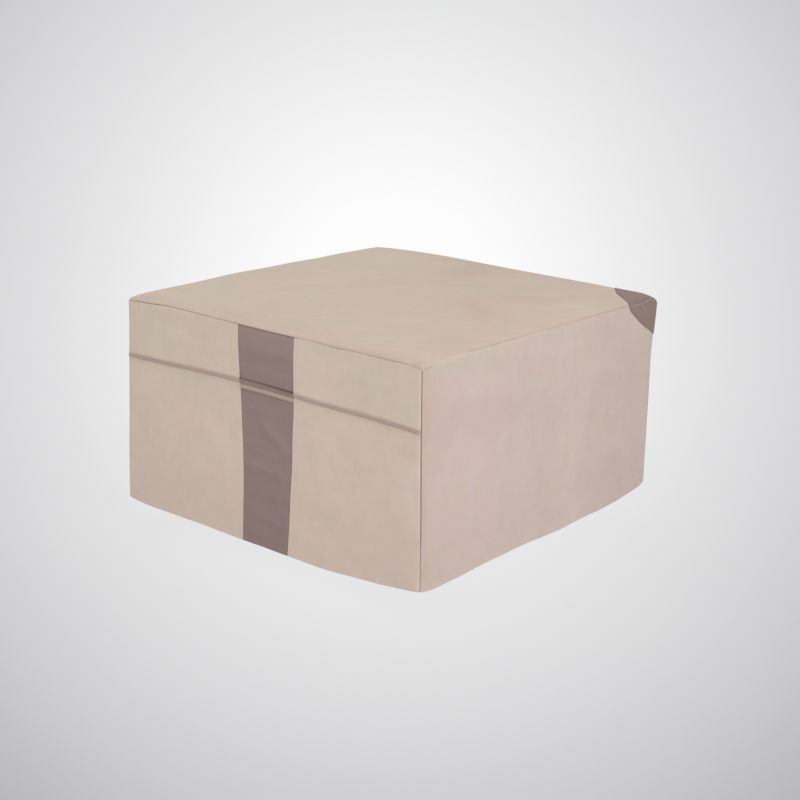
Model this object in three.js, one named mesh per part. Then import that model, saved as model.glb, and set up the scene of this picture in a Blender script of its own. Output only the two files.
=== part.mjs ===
import * as THREE from 'three';

// A fitted outdoor cover for a square fire pit table, in millimetres, +Z up.
// The origin is the middle of the underside of the top, where the cover is carried.
// -Y is the front wall, with the dark band, and +X is the wall to its right.

// Driving dimensions
const WIDTH = 1070; // across the walls at the top edge, the same both ways
const DROP = 612; // from the outside of the top to the hem's level line
const CLOTH = 2; // thickness of the coated cloth
const HEM_DEPTH = 24; // the turned-up hem
const HEM_FOLD = 1; // what the turned-up cloth adds on the inside of the hem
const TAPE = 1.3; // thickness of the tape across the front
const TAPE_DEPTH = 13; // how much of the tape shows beside the band
const LIP_DEPTH = 17.5; // how much of the dark fold shows on the band
const BAND_TAPE_DEPTH = 12; // how much of the tape shows on the band
const TAPE_END = 7; // the tape stops this far short of the near corner
const CREASE_PROUD = 2.4; // how far the lower edge of the upper band stands out
const CREASE_DEPTH = 14; // over this much of its height
const PATCH = 1.5; // thickness of the corner patch
const EDGE_RADIUS = 14; // how the cloth bends over the edges
const GAP = 0.3; // between pieces that are sewn side by side
const SEAM_GAP = 0.7; // the same on a bent edge, measured on the sharp box
const PATCH_GAP = 0.55; // between the patch and the bent seams under it
const WALL_STEPS = 24; // columns of a whole wall
const PATCH_STEPS = 18; // columns of the patch on each of its three faces

const HALF = WIDTH / 2;
const TOP = CLOTH; // height of the outside of the top

const BEIGE = { color: 0xc7b7a8, roughness: 0.85, metalness: 0 };
const PINK_BEIGE = { color: 0xcbb9ae, roughness: 0.85, metalness: 0 };
const DARK_TAUPE = { color: 0x897672, roughness: 0.85, metalness: 0 };
const MID_TAUPE = { color: 0xa7958a, roughness: 0.85, metalness: 0 };

// Quarter turns that bring the front wall round to each side
const SIDES = { front: 0, right: 1, back: 2, left: 3 };

// How the four corners stand off the square, at the top and at the hem, and how far the top sinks there.
// reach is the share of the drop at which the hem's figures hold.
const CORNERS = [
  { x: -1, y: -1, topX: -8, topY: -8, hemX: -17, hemY: -17, reach: 1, sink: 3 },
  { x: 1, y: -1, topX: -2, topY: -2, hemX: 6, hemY: 1, reach: 1, sink: 8 },
  { x: 1, y: 1, topX: 8, topY: 8, hemX: 1, hemY: 1, reach: 0.3, sink: 4 },
  { x: -1, y: 1, topX: -2, topY: 2, hemX: -6, hemY: 6, reach: 1, sink: 4 },
];
const SINK_RADIUS = 50;
const SINK_FADE = 0.5;

// Soft folds of the walls: along the wall, how far they lean on the way down, where they start,
// half their width, and how far they stand out or in.
const FOLDS = [
  { side: 'front', along: 130, lean: -30, start: 180, half: 60, out: 2.5 },
  { side: 'front', along: 340, lean: 15, start: 260, half: 70, out: -2.5 },
  { side: 'front', along: 770, lean: -25, start: 220, half: 70, out: 3 },
  { side: 'front', along: 940, lean: 20, start: 280, half: 55, out: -2.5 },
  { side: 'right', along: 120, lean: -20, start: 200, half: 55, out: -2 },
  { side: 'right', along: 310, lean: 25, start: 180, half: 75, out: 3 },
  { side: 'right', along: 580, lean: -15, start: 240, half: 65, out: -3 },
  { side: 'right', along: 830, lean: 20, start: 120, half: 80, out: 3 },
  { side: 'back', along: 200, lean: 20, start: 150, half: 70, out: 3 },
  { side: 'back', along: 500, lean: -15, start: 220, half: 80, out: -3 },
  { side: 'back', along: 840, lean: 20, start: 200, half: 70, out: 3 },
  { side: 'left', along: 180, lean: -20, start: 200, half: 70, out: -2.5 },
  { side: 'left', along: 470, lean: 20, start: 160, half: 80, out: 3 },
  { side: 'left', along: 800, lean: 15, start: 240, half: 70, out: -2.5 },
];
const FOLD_GROWTH = 240; // a fold reaches its full depth this far below its start
const FOLD_HOLD = 60; // and dies away this near a corner

// The seam round the top, as a depth below the sharp edge; less than nothing is in over the top
const TOP_SEAM = {
  front: [
    { along: 0, depth: 4 },
    { along: 63, depth: 5 },
    { along: 116, depth: 3.7 },
    { along: 159, depth: 0 },
    { along: 222, depth: 0 },
    { along: 287, depth: 3.7 },
    { along: 349, depth: 5.2 },
    { along: 410, depth: 5.4 },
    { along: 471, depth: 9.2 },
    { along: 590, depth: 10.4 },
    { along: 645, depth: 8.9 },
    { along: 700, depth: 7.6 },
    { along: 811, depth: 9.9 },
    { along: 864, depth: 8.4 },
    { along: 970, depth: 9.3 },
    { along: 1020, depth: 8 },
    { along: 1045, depth: 4.4 },
    { along: WIDTH, depth: 3 },
  ],
  right: [
    { along: 0, depth: 3 },
    { along: 12, depth: 10 },
    { along: 40, depth: 9.7 },
    { along: 60, depth: 3 },
    { along: 76, depth: -4.5 },
    { along: 106, depth: -2.5 },
    { along: 138, depth: -2.4 },
    { along: 201, depth: 2.2 },
    { along: 334, depth: 2.8 },
    { along: 474, depth: 0.8 },
    { along: 543, depth: 5.8 },
    { along: 617, depth: 4.4 },
    { along: 770, depth: 3.3 },
    { along: 889, depth: 4.5 },
    { along: 922, depth: 8.6 },
    { along: 983, depth: 12.5 },
    { along: WIDTH, depth: 8 },
  ],
  back: [
    { along: 0, depth: 8 },
    { along: 120, depth: 5 },
    { along: 400, depth: 7 },
    { along: 700, depth: 4 },
    { along: 950, depth: 6 },
    { along: WIDTH, depth: 4 },
  ],
  left: [
    { along: 0, depth: 4 },
    { along: 200, depth: 6 },
    { along: 500, depth: 3 },
    { along: 800, depth: 6 },
    { along: WIDTH, depth: 4 },
  ],
};

// The hem, as a depth below the top
const HEM = {
  front: [
    { along: 0, depth: 600 },
    { along: 36, depth: 606 },
    { along: 174, depth: 611 },
    { along: 319, depth: 614 },
    { along: 471, depth: 616 },
    { along: 615, depth: 621.5 },
    { along: 697, depth: 622.5 },
    { along: 780, depth: 621 },
    { along: 862, depth: 617 },
    { along: 952, depth: 616 },
    { along: 1027, depth: 609.5 },
    { along: WIDTH, depth: 602 },
  ],
  right: [
    { along: 0, depth: 602 },
    { along: 26, depth: 605 },
    { along: 59, depth: 607 },
    { along: 83, depth: 604.7 },
    { along: 193, depth: 603.3 },
    { along: 343, depth: 600.2 },
    { along: 524, depth: 600 },
    { along: 586, depth: 601.5 },
    { along: 819, depth: 600.4 },
    { along: 940, depth: 588 },
    { along: 1040, depth: 577 },
    { along: WIDTH, depth: 563 },
  ],
  back: [
    { along: 0, depth: 563 },
    { along: 60, depth: 578 },
    { along: 180, depth: 592 },
    { along: 420, depth: 600 },
    { along: 700, depth: 605 },
    { along: 950, depth: 606 },
    { along: WIDTH, depth: 601 },
  ],
  left: [
    { along: 0, depth: 601 },
    { along: 120, depth: 607 },
    { along: 380, depth: 611 },
    { along: 640, depth: 608 },
    { along: 900, depth: 612 },
    { along: 1010, depth: 607 },
    { along: WIDTH, depth: 600 },
  ],
};

// The seam across the front between yoke and lower wall, as a depth below the top
const YOKE_SEAM = [
  { along: 0, depth: 163.5 },
  { along: 96, depth: 162.5 },
  { along: 217, depth: 158 },
  { along: 354, depth: 155 },
  { along: 540, depth: 155.2 },
  { along: 640, depth: 158 },
  { along: 702, depth: 161.4 },
  { along: 840, depth: 163 },
  { along: 1004, depth: 167.3 },
  { along: WIDTH, depth: 168.3 },
];

// The dark band's two edges on the front wall
const BAND = [
  { depth: 0, left: 440, right: 644 },
  { depth: 60, left: 440, right: 641 },
  { depth: 125, left: 444, right: 641.3 },
  { depth: 157, left: 445.5, right: 642 },
  { depth: 200, left: 450, right: 643.3 },
  { depth: 275, left: 454, right: 640 },
  { depth: 360, left: 459, right: 638 },
  { depth: 445, left: 460.5, right: 633 },
  { depth: 530, left: 459, right: 628.5 },
  { depth: 640, left: 456.5, right: 620 },
];

// The corner patch's outline: how far it reaches from the corner, turning over the top (0 to 90 degrees),
// down the right wall (90 to 180) and over the back wall (180 to 270)
const PATCH_OUTLINE = [
  { turn: 0, reach: 152 },
  { turn: 10, reach: 140 },
  { turn: 26, reach: 122.5 },
  { turn: 46, reach: 117 },
  { turn: 60, reach: 120 },
  { turn: 71, reach: 126.5 },
  { turn: 82, reach: 142 },
  { turn: 90, reach: 152 },
  { turn: 100, reach: 146 },
  { turn: 113, reach: 123 },
  { turn: 135, reach: 107 },
  { turn: 171, reach: 110 },
  { turn: 180, reach: 117 },
  { turn: 189, reach: 110 },
  { turn: 225, reach: 107 },
  { turn: 247, reach: 123 },
  { turn: 260, reach: 144 },
  { turn: 270, reach: 152 },
];

const { clamp, lerp, degToRad } = THREE.MathUtils;

// 0 to 1 with level ends
function ease(share) {
  const t = clamp(share, 0, 1);
  return t * t * (3 - 2 * t);
}

// Reads a table's column between its rows, with an even curve through them
function between(rows, key, column, at) {
  const last = rows.length - 1;
  let high = 1;
  while (high < last && rows[high][key] < at) {
    high += 1;
  }
  const slope = (index) => {
    const before = rows[Math.max(index - 1, 0)];
    const after = rows[Math.min(index + 1, last)];
    return (after[column] - before[column]) / (after[key] - before[key]);
  };
  const start = rows[high - 1];
  const end = rows[high];
  const span = end[key] - start[key];
  const t = clamp((at - start[key]) / span, 0, 1);
  const rise = ease(t);
  const pull = t * (1 - t) * span;
  return lerp(start[column], end[column], rise) + pull * (slope(high - 1) * (1 - t) - slope(high) * t);
}

// Turns a vector about Z by a number of quarter turns
function quarterTurn(point, turns) {
  const cosine = [1, 0, -1, 0][turns];
  const sine = [0, 1, 0, -1][turns];
  return new THREE.Vector3(cosine * point.x - sine * point.y, sine * point.x + cosine * point.y, point.z);
}

// A point of the sharp box: along a wall from its left corner, and below its top edge.
// A depth under nothing is in over the top, towards its middle.
function boxPoint(side, along, depth) {
  const inward = 1 + Math.min(depth, 0) / HALF;
  const point = new THREE.Vector3((along - HALF) * inward, -HALF * inward, TOP - Math.max(depth, 0));
  return quarterTurn(point, SIDES[side]);
}

// Rounds the sharp box's edges and corners, and stands a point off its surface
function rounded(point, offset) {
  const reach = HALF - EDGE_RADIUS;
  const core = new THREE.Vector3(
    clamp(point.x, -reach, reach),
    clamp(point.y, -reach, reach),
    Math.min(point.z, TOP - EDGE_RADIUS),
  );
  const outward = point.clone().sub(core).normalize();
  return core.addScaledVector(outward, EDGE_RADIUS + offset);
}

// How far the soft folds of one wall move a point out
function foldOut(side, along, depth) {
  const hold = ease(Math.min(along, WIDTH - along) / FOLD_HOLD);
  let out = 0;
  for (const fold of FOLDS) {
    if (fold.side === side) {
      const middle = fold.along + fold.lean * (depth / DROP);
      const across = (along - middle) / fold.half;
      out += fold.out * Math.exp(-across * across) * ease((depth - fold.start) / FOLD_GROWTH);
    }
  }
  return out * hold;
}

// The way the cloth hangs: leaning corners, a top that sinks at them, and soft folds in the walls
const LOWEST = 1.1; // the share of the drop past which nothing leans further
const WALL_FROM = 0.93; // the share of the half width from which a wall's folds begin to count
const WALL_BLEND = 0.05; // and the share over which they come in

function settled(point) {
  const down = clamp((TOP - point.z) / DROP, 0, LOWEST);
  const moved = point.clone();
  for (const corner of CORNERS) {
    const share = (1 + (corner.x * point.x) / HALF) * (1 + (corner.y * point.y) / HALF) / 4;
    const lean = ease(down / corner.reach);
    moved.x += share * lerp(corner.topX, corner.hemX, lean);
    moved.y += share * lerp(corner.topY, corner.hemY, lean);
    const away = Math.hypot(point.x - corner.x * HALF, point.y - corner.y * HALF) / SINK_RADIUS;
    moved.z -= corner.sink * Math.exp(-away * away) * (1 - ease(down / SINK_FADE));
  }
  for (const [side, turns] of Object.entries(SIDES)) {
    const local = quarterTurn(point, (4 - turns) % 4);
    const onWall = ease((-local.y / HALF - WALL_FROM) / WALL_BLEND);
    if (onWall > 0) {
      const out = onWall * foldOut(side, local.x + HALF, TOP - point.z);
      moved.add(quarterTurn(new THREE.Vector3(0, -out, 0), turns));
    }
  }
  return moved;
}

// A point of the cover's outside, or off it by an offset
function coverPoint(side, along, depth, offset) {
  return settled(rounded(boxPoint(side, along, depth), offset));
}

// A sheet of cloth between an outside and an inside, from place(column, row, face), where face is 1
// outside and 0 inside. round joins the last column to the first, and pole closes the first row to a point.
function sheetGeometry({ columns, rows, round = false, pole = false, place }) {
  const points = [];
  const index = [];
  for (const face of [0, 1]) {
    for (let column = 0; column < columns; column += 1) {
      for (let row = 0; row < rows; row += 1) {
        points.push(place(column, row, face));
      }
    }
  }
  const vertex = (column, row, face) => {
    const around = pole && row === 0 ? 0 : column % columns;
    return (face * columns + around) * rows + row;
  };
  const triangle = (a, b, c) => {
    if (a !== b && b !== c && c !== a) {
      index.push(a, b, c);
    }
  };
  const quad = (a, b, c, d) => {
    triangle(a, b, c);
    triangle(a, c, d);
  };
  // Each square of the cloth is folded along the diagonal that bulges out
  const bulgesOut = (column, row) => {
    const at = (ahead, below) => points[vertex(column + ahead, row + below, 1)];
    const outward = at(0, 0).clone().sub(points[vertex(column, row, 0)]);
    const falling = at(0, 0).clone().add(at(1, 1));
    const rising = at(1, 0).clone().add(at(0, 1));
    return falling.sub(rising).dot(outward) >= 0;
  };
  const spans = round ? columns : columns - 1;
  for (let column = 0; column < spans; column += 1) {
    const next = column + 1;
    for (let row = 0; row < rows - 1; row += 1) {
      const corners = [[column, row], [column, row + 1], [next, row + 1], [next, row]];
      if (!(pole && row === 0) && !bulgesOut(column, row)) {
        corners.push(corners.shift());
      }
      quad(...corners.map(([across, down]) => vertex(across, down, 1)));
      const [first, ...others] = corners.map(([across, down]) => vertex(across, down, 0));
      quad(first, ...others.reverse());
    }
    const end = rows - 1;
    quad(vertex(column, end, 1), vertex(column, end, 0), vertex(next, end, 0), vertex(next, end, 1));
    if (!pole) {
      quad(vertex(column, 0, 1), vertex(next, 0, 1), vertex(next, 0, 0), vertex(column, 0, 0));
    }
  }
  if (!round) {
    const end = columns - 1;
    for (let row = 0; row < rows - 1; row += 1) {
      const below = row + 1;
      quad(vertex(0, row, 0), vertex(0, below, 0), vertex(0, below, 1), vertex(0, row, 1));
      quad(vertex(end, below, 1), vertex(end, below, 0), vertex(end, row, 0), vertex(end, row, 1));
    }
  }
  return trimmed(points, index);
}

// Makes the geometry from the points that its faces use
function trimmed(points, index) {
  const used = new Map();
  const positions = [];
  const faces = index.map((old) => {
    if (!used.has(old)) {
      used.set(old, used.size);
      positions.push(...points[old].toArray());
    }
    return used.get(old);
  });
  const geometry = new THREE.BufferGeometry();
  geometry.setAttribute('position', new THREE.Float32BufferAttribute(positions, 3));
  geometry.setIndex(faces);
  geometry.computeVertexNormals();
  return geometry;
}

// Columns along a whole wall, close together at its corners and wide apart in its middle
function wallColumns() {
  const stops = [];
  for (let step = 0; step <= WALL_STEPS; step += 1) {
    stops.push((WIDTH * (1 - Math.cos((Math.PI * step) / WALL_STEPS))) / 2);
  }
  return stops;
}

// The front wall's columns also stop at the band's edges under the top seam
const BAND_START = { left: BAND[0].left, right: BAND[0].right };
const NEAR_STOP = 12; // a column nearer than this to a band edge moves onto it

function frontColumns() {
  const clear = wallColumns().filter(
    (along) => Math.abs(along - BAND_START.left) > NEAR_STOP && Math.abs(along - BAND_START.right) > NEAR_STOP,
  );
  return [...clear, BAND_START.left, BAND_START.right].sort((a, b) => a - b);
}

// Depths below a seam: close together where the cloth bends, then even steps, then the hem
const BEND_STEPS = [0, 5, 10, 15, 21];
const WALL_ROWS = 7;

function rowDepths(from, to, { bend = false, hem = false, even = WALL_ROWS }) {
  const start = bend ? BEND_STEPS.map((step) => from + step) : [from];
  const first = start.at(-1);
  const last = hem ? to - HEM_DEPTH : to;
  const depths = [...start];
  for (let step = 1; step <= even; step += 1) {
    depths.push(lerp(first, last, step / even));
  }
  if (hem) {
    depths.push(last + HEM_FOLD, to);
  }
  return depths;
}

// The inside of a wall steps in where the hem is turned up
function wallOffset(face, row, rows) {
  if (face === 1) {
    return 0;
  }
  return row >= rows - 2 ? -CLOTH - HEM_FOLD : -CLOTH;
}

// A whole plain wall, from the top seam to the hem and from corner seam to corner seam
function plainWall(side) {
  const stops = wallColumns();
  stops[0] += SEAM_GAP / 2;
  stops[stops.length - 1] -= SEAM_GAP / 2;
  const depths = stops.map((along) => rowDepths(
    between(TOP_SEAM[side], 'along', 'depth', along) + SEAM_GAP / 2,
    between(HEM[side], 'along', 'depth', along),
    { bend: true, hem: true },
  ));
  const rows = depths[0].length;
  return sheetGeometry({
    columns: stops.length,
    rows,
    place: (column, row, face) => (
      coverPoint(side, stops[column], depths[column][row], wallOffset(face, row, rows))
    ),
  });
}

// Where a column of the front wall lies at a depth: columns beside the band give way to its edges
function frontAlong(stop, depth, gapLeft, gapRight) {
  const left = between(BAND, 'depth', 'left', depth);
  const right = between(BAND, 'depth', 'right', depth);
  if (stop <= BAND_START.left && gapLeft <= 0) {
    return (stop / BAND_START.left) * (left + gapLeft);
  }
  if (stop >= BAND_START.right && gapRight >= 0) {
    return WIDTH - ((WIDTH - stop) / (WIDTH - BAND_START.right)) * (WIDTH - right - gapRight);
  }
  const share = (stop - BAND_START.left) / (BAND_START.right - BAND_START.left);
  return lerp(left + gapLeft, right + gapRight, share);
}

// The stops of one strip of the front wall: left of the band, on it, or right of it
function frontStops(place) {
  const stops = frontColumns();
  if (place === 'left') {
    const own = stops.filter((along) => along <= BAND_START.left);
    own[0] += SEAM_GAP / 2;
    return own;
  }
  if (place === 'right') {
    const own = stops.filter((along) => along >= BAND_START.right);
    own[own.length - 1] -= SEAM_GAP / 2;
    return own;
  }
  return stops.filter((along) => along >= BAND_START.left && along <= BAND_START.right);
}

const EDGE_GAPS = {
  left: [-GAP / 2, 0],
  band: [GAP / 2, -GAP / 2],
  right: [0, GAP / 2],
};

// A piece of the front wall between two lines, from depth from(along) to depth to(along)
function frontPiece(place, from, to, shape, offsetAt) {
  const stops = frontStops(place);
  const [gapLeft, gapRight] = EDGE_GAPS[place];
  const depths = stops.map((stop) => rowDepths(from(stop), to(stop), shape));
  const rows = depths[0].length;
  return sheetGeometry({
    columns: stops.length,
    rows,
    place: (column, row, face) => {
      const depth = depths[column][row];
      const along = frontAlong(stops[column], depth, gapLeft, gapRight);
      return coverPoint('front', along, depth, offsetAt(face, row, rows, column, stops.length));
    },
  });
}

const topSeamAt = (along) => between(TOP_SEAM.front, 'along', 'depth', along) + SEAM_GAP / 2;
const yokeSeamAt = (along) => between(YOKE_SEAM, 'along', 'depth', along);
const hemAt = (along) => between(HEM.front, 'along', 'depth', along);
const YOKE_ROWS = 3;

// A beige strip of the yoke, beside the band
function frontYoke(place) {
  const shape = { bend: true, even: YOKE_ROWS };
  const flat = (face) => (face === 1 ? 0 : -CLOTH);
  return frontPiece(place, topSeamAt, (along) => yokeSeamAt(along) - GAP / 2, shape, flat);
}

// The dark band in the yoke, whose lower edge stands out over the fold below it
const CREASE_ROWS = [
  { above: CREASE_DEPTH, proud: 0 },
  { above: CREASE_DEPTH / 3, proud: 0.75 },
  { above: 0, proud: 1 },
]; // how far above the edge, and what share of the whole stands out there

function bandUpper() {
  const creaseAt = (along) => yokeSeamAt(along) - GAP / 2;
  const stops = frontStops('band');
  const [gapLeft, gapRight] = EDGE_GAPS.band;
  const depths = stops.map((stop) => {
    const crease = creaseAt(stop);
    const [start, ...lower] = CREASE_ROWS.map(({ above }) => crease - above);
    return [...rowDepths(topSeamAt(stop), start, { bend: true, even: YOKE_ROWS }), ...lower];
  });
  const rows = depths[0].length;
  const proud = (column, row) => {
    const clearOfEdge = column > 0 && column < stops.length - 1;
    const creaseRow = Math.max(row - rows + CREASE_ROWS.length, 0);
    return clearOfEdge ? CREASE_PROUD * CREASE_ROWS[creaseRow].proud : 0;
  };
  return sheetGeometry({
    columns: stops.length,
    rows,
    place: (column, row, face) => {
      const depth = depths[column][row];
      const along = frontAlong(stops[column], depth, gapLeft, gapRight);
      return coverPoint('front', along, depth, proud(column, row) - (face === 1 ? 0 : CLOTH));
    },
  });
}

// A strip of the front wall below the yoke seam, down to the hem
function frontLower(place) {
  return frontPiece(place, (along) => yokeSeamAt(along) + GAP / 2, hemAt, { hem: true }, wallOffset);
}

// A flat strip lying on the lower wall, from one depth under the yoke seam to another
function overlay(place, start, end) {
  const lines = [(along) => yokeSeamAt(along) + start, (along) => yokeSeamAt(along) + end];
  return frontPiece(place, ...lines, { even: 1 }, (face) => (face === 1 ? GAP + TAPE : GAP));
}

// The tape to the right of the band stops short of the corner
function rightTape() {
  const stops = frontColumns().filter((along) => along >= BAND_START.right && along < WIDTH - TAPE_END);
  stops.push(WIDTH - TAPE_END);
  const edges = [GAP / 2, GAP / 2 + TAPE_DEPTH];
  return sheetGeometry({
    columns: stops.length,
    rows: edges.length,
    place: (column, row, face) => {
      const depth = yokeSeamAt(stops[column]) + edges[row];
      const along = frontAlong(stops[column], depth, 0, GAP / 2);
      return coverPoint('front', along, depth, face === 1 ? GAP + TAPE : GAP);
    },
  });
}

// The top, in rings from its middle out over the bent edge to the seam all round
const RING_INSETS = [300, 130, 60, 32, 24, 18, 12, 6, 0];

function topPanel() {
  const stops = [];
  for (const side of Object.keys(SIDES)) {
    const along = side === 'front' ? frontColumns() : wallColumns();
    for (const stop of along.slice(0, -1)) {
      stops.push({ side, along: stop, seam: between(TOP_SEAM[side], 'along', 'depth', stop) - SEAM_GAP / 2 });
    }
  }
  return sheetGeometry({
    columns: stops.length,
    rows: RING_INSETS.length + 1,
    round: true,
    pole: true,
    place: (column, row, face) => {
      const { side, along, seam } = stops[column];
      const depth = row === 0 ? -HALF : seam - RING_INSETS[row - 1];
      return coverPoint(side, along, depth, face === 1 ? 0 : -CLOTH);
    },
  });
}

// The patch over the far right corner: rays turn about the corner over its three faces
const PATCH_FACES = [
  { start: new THREE.Vector3(-1, 0, 0), end: new THREE.Vector3(0, -1, 0) },
  { start: new THREE.Vector3(0, -1, 0), end: new THREE.Vector3(0, 0, -1) },
  { start: new THREE.Vector3(0, 0, -1), end: new THREE.Vector3(-1, 0, 0) },
];
const PATCH_ROWS = [0, 5, 10, 16, 24, 50]; // distances from the corner, then on to the outline
const QUARTER = 90; // degrees that one face takes

function cornerPatch() {
  const corner = new THREE.Vector3(HALF, HALF, TOP);
  const rays = [];
  PATCH_FACES.forEach(({ start, end }, face) => {
    for (let step = 0; step < PATCH_STEPS; step += 1) {
      const turn = (QUARTER * (1 - Math.cos((Math.PI * step) / PATCH_STEPS))) / 2;
      const reach = between(PATCH_OUTLINE, 'turn', 'reach', QUARTER * face + turn);
      const angle = degToRad(turn);
      const ray = start.clone().multiplyScalar(Math.cos(angle)).addScaledVector(end, Math.sin(angle));
      rays.push({ ray, distances: [...PATCH_ROWS, (PATCH_ROWS.at(-1) + reach) / 2, reach] });
    }
  });
  return sheetGeometry({
    columns: rays.length,
    rows: rays[0].distances.length,
    round: true,
    pole: true,
    place: (column, row, face) => {
      const { ray, distances } = rays[column];
      const onBox = corner.clone().addScaledVector(ray, distances[row]);
      return settled(rounded(onBox, face === 1 ? PATCH_GAP + PATCH : PATCH_GAP));
    },
  });
}

const cover = new THREE.Group();

function addPiece(name, geometry, finish) {
  const piece = new THREE.Mesh(geometry, new THREE.MeshStandardMaterial(finish));
  piece.name = name;
  cover.add(piece);
}

addPiece('top_panel', topPanel(), BEIGE);
addPiece('front_yoke_left', frontYoke('left'), BEIGE);
addPiece('front_yoke_right', frontYoke('right'), BEIGE);
addPiece('front_lower_left', frontLower('left'), BEIGE);
addPiece('front_lower_right', frontLower('right'), BEIGE);
addPiece('band_upper', bandUpper(), DARK_TAUPE);
addPiece('band_lip', overlay('band', GAP / 2, LIP_DEPTH), DARK_TAUPE);
addPiece('band_lower', frontLower('band'), DARK_TAUPE);
addPiece('strip_left', overlay('left', GAP / 2, GAP / 2 + TAPE_DEPTH), MID_TAUPE);
addPiece('strip_band', overlay('band', LIP_DEPTH + GAP, LIP_DEPTH + GAP + BAND_TAPE_DEPTH), MID_TAUPE);
addPiece('strip_right', rightTape(), MID_TAUPE);
addPiece('right_panel', plainWall('right'), PINK_BEIGE);
addPiece('back_panel', plainWall('back'), BEIGE);
addPiece('left_panel', plainWall('left'), BEIGE);
addPiece('corner_patch', cornerPatch(), DARK_TAUPE);

export default cover;
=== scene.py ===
"""A fitted outdoor cover for a square fire pit table, dressed for its picture.

Sizes are in millimetres and go into the meshes in metres. +Z is up, the front wall with the dark
band faces -Y, and the wall to its right faces +X. The origin is the middle of the top's underside.
"""

import math
from types import SimpleNamespace

import bpy
import numpy as np
from mathutils import Matrix, Vector


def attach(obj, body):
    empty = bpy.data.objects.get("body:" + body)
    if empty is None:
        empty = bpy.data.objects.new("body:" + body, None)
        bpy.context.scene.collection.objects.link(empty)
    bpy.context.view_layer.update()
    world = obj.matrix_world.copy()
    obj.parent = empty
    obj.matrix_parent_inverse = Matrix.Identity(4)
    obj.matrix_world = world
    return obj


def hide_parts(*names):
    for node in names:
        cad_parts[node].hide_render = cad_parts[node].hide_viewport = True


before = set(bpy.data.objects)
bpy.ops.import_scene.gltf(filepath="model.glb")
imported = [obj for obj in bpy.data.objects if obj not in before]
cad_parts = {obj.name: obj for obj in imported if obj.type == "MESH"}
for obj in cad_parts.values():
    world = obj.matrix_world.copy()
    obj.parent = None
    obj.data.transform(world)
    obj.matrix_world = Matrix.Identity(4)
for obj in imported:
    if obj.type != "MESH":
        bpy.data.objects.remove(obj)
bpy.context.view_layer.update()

# The camera stands to the right of the front corner, a little over the top, with a long lens,
# so that the front wall, the right wall and the top all show.
MM = 1000.0  # millimetres in a metre
CAMERA_AT = (3063.3, -3660.3, 1085.3)
YAW = math.radians(129.741)
PITCH = math.radians(16.319)
ROLL = math.radians(-1.096)
FOCAL_PX = 1703.09
PICTURE_PX = 800
SENSOR = 36.0
CLIP_END = 100.0

forward = np.array([math.cos(YAW) * math.cos(PITCH), math.sin(YAW) * math.cos(PITCH), -math.sin(PITCH)])
level_right = np.array([math.sin(YAW), -math.cos(YAW), 0.0])
level_down = np.cross(forward, level_right)
right = math.cos(ROLL) * level_right + math.sin(ROLL) * level_down
down = math.cos(ROLL) * level_down - math.sin(ROLL) * level_right
camera_data = bpy.data.cameras.new("camera")
camera_data.sensor_width = SENSOR
camera_data.lens = FOCAL_PX / PICTURE_PX * SENSOR
camera_data.clip_end = CLIP_END
camera = bpy.data.objects.new("camera", camera_data)
bpy.context.scene.collection.objects.link(camera)
turn = Matrix(np.stack([right, -down, -forward], axis=1).tolist()).to_4x4()
camera.matrix_world = Matrix.Translation(np.array(CAMERA_AT) / MM) @ turn
bpy.context.scene.camera = camera


# The studio is one pale sweep: a round floor that curves up into a low wall, evenly lit, with a soft
# pool of light painted into its glow round the cover. The cover hangs clear of the floor, as it does in use.
FLOOR_Z = -686.0
FLOOR_RADIUS = 4700.0
SWEEP_RADIUS = 1500.0
WALL_HEIGHT = 3400.0
FLOOR_RINGS = 11
BEND_RINGS = 17
STAGE_STEPS = 96
# the point from which the painted pool of light spreads
POOL_FROM = CAMERA_AT
POOL_AIM_PX = (395, 307)
# painted glow of the sweep by its angle off the pool's axis, in radians
POOL = [(0, 1.015), (0.055, 1.0), (0.11, 0.915), (0.17, 0.812), (0.24, 0.70), (0.30, 0.592), (0.36, 0.468)]
# the ramp's share of each radian, and how much bluer the sweep gets with each, up to the last angle
POOL_SHARE = 2.0
POOL_BLUE = 0.07
SWEEP_TINT = 0.05


def mesh_from(name, points, faces, uv=None, **attributes):
    """An object at the origin with these points (millimetres) and faces of four corners each."""
    data = bpy.data.meshes.new(name)
    data.from_pydata((points / MM).tolist(), [], faces.tolist())
    if uv is not None:
        corners = np.zeros(len(data.loops), np.int32)
        data.loops.foreach_get("vertex_index", corners)
        layer = data.uv_layers.new(name="UVMap")
        layer.data.foreach_set("uv", (uv[corners] / MM).astype(np.float32).ravel())
    for label, values in attributes.items():
        data.attributes.new(label, "FLOAT", "POINT").data.foreach_set("value", values.astype(np.float32))
    data.validate()
    data.shade_smooth()
    made = bpy.data.objects.new(name, data)
    bpy.context.scene.collection.objects.link(made)
    return made


def grid_faces(columns, rows, wrap=False):
    """The squares of a grid whose point number is column * rows + row, wound to face the side on
    which columns run to the right and rows run down."""
    number = np.arange(columns * rows).reshape(columns, rows)
    following = np.roll(number, -1, axis=0)
    squares = np.stack([number[:, :-1], number[:, 1:], following[:, 1:], following[:, :-1]], axis=-1)
    return squares[: columns if wrap else columns - 1].reshape(-1, 4)


def on_value(operation, swapped=False):
    """A method that puts a Math node of this operation on a value and its other terms, in this
    order or, swapped, with the value last."""

    def method(value, *others):
        """The result of the Math node."""
        terms = (*others, value) if swapped else (value, *others)
        return value.owner.node("Math", {"operation": operation}, *terms)

    return method


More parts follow.
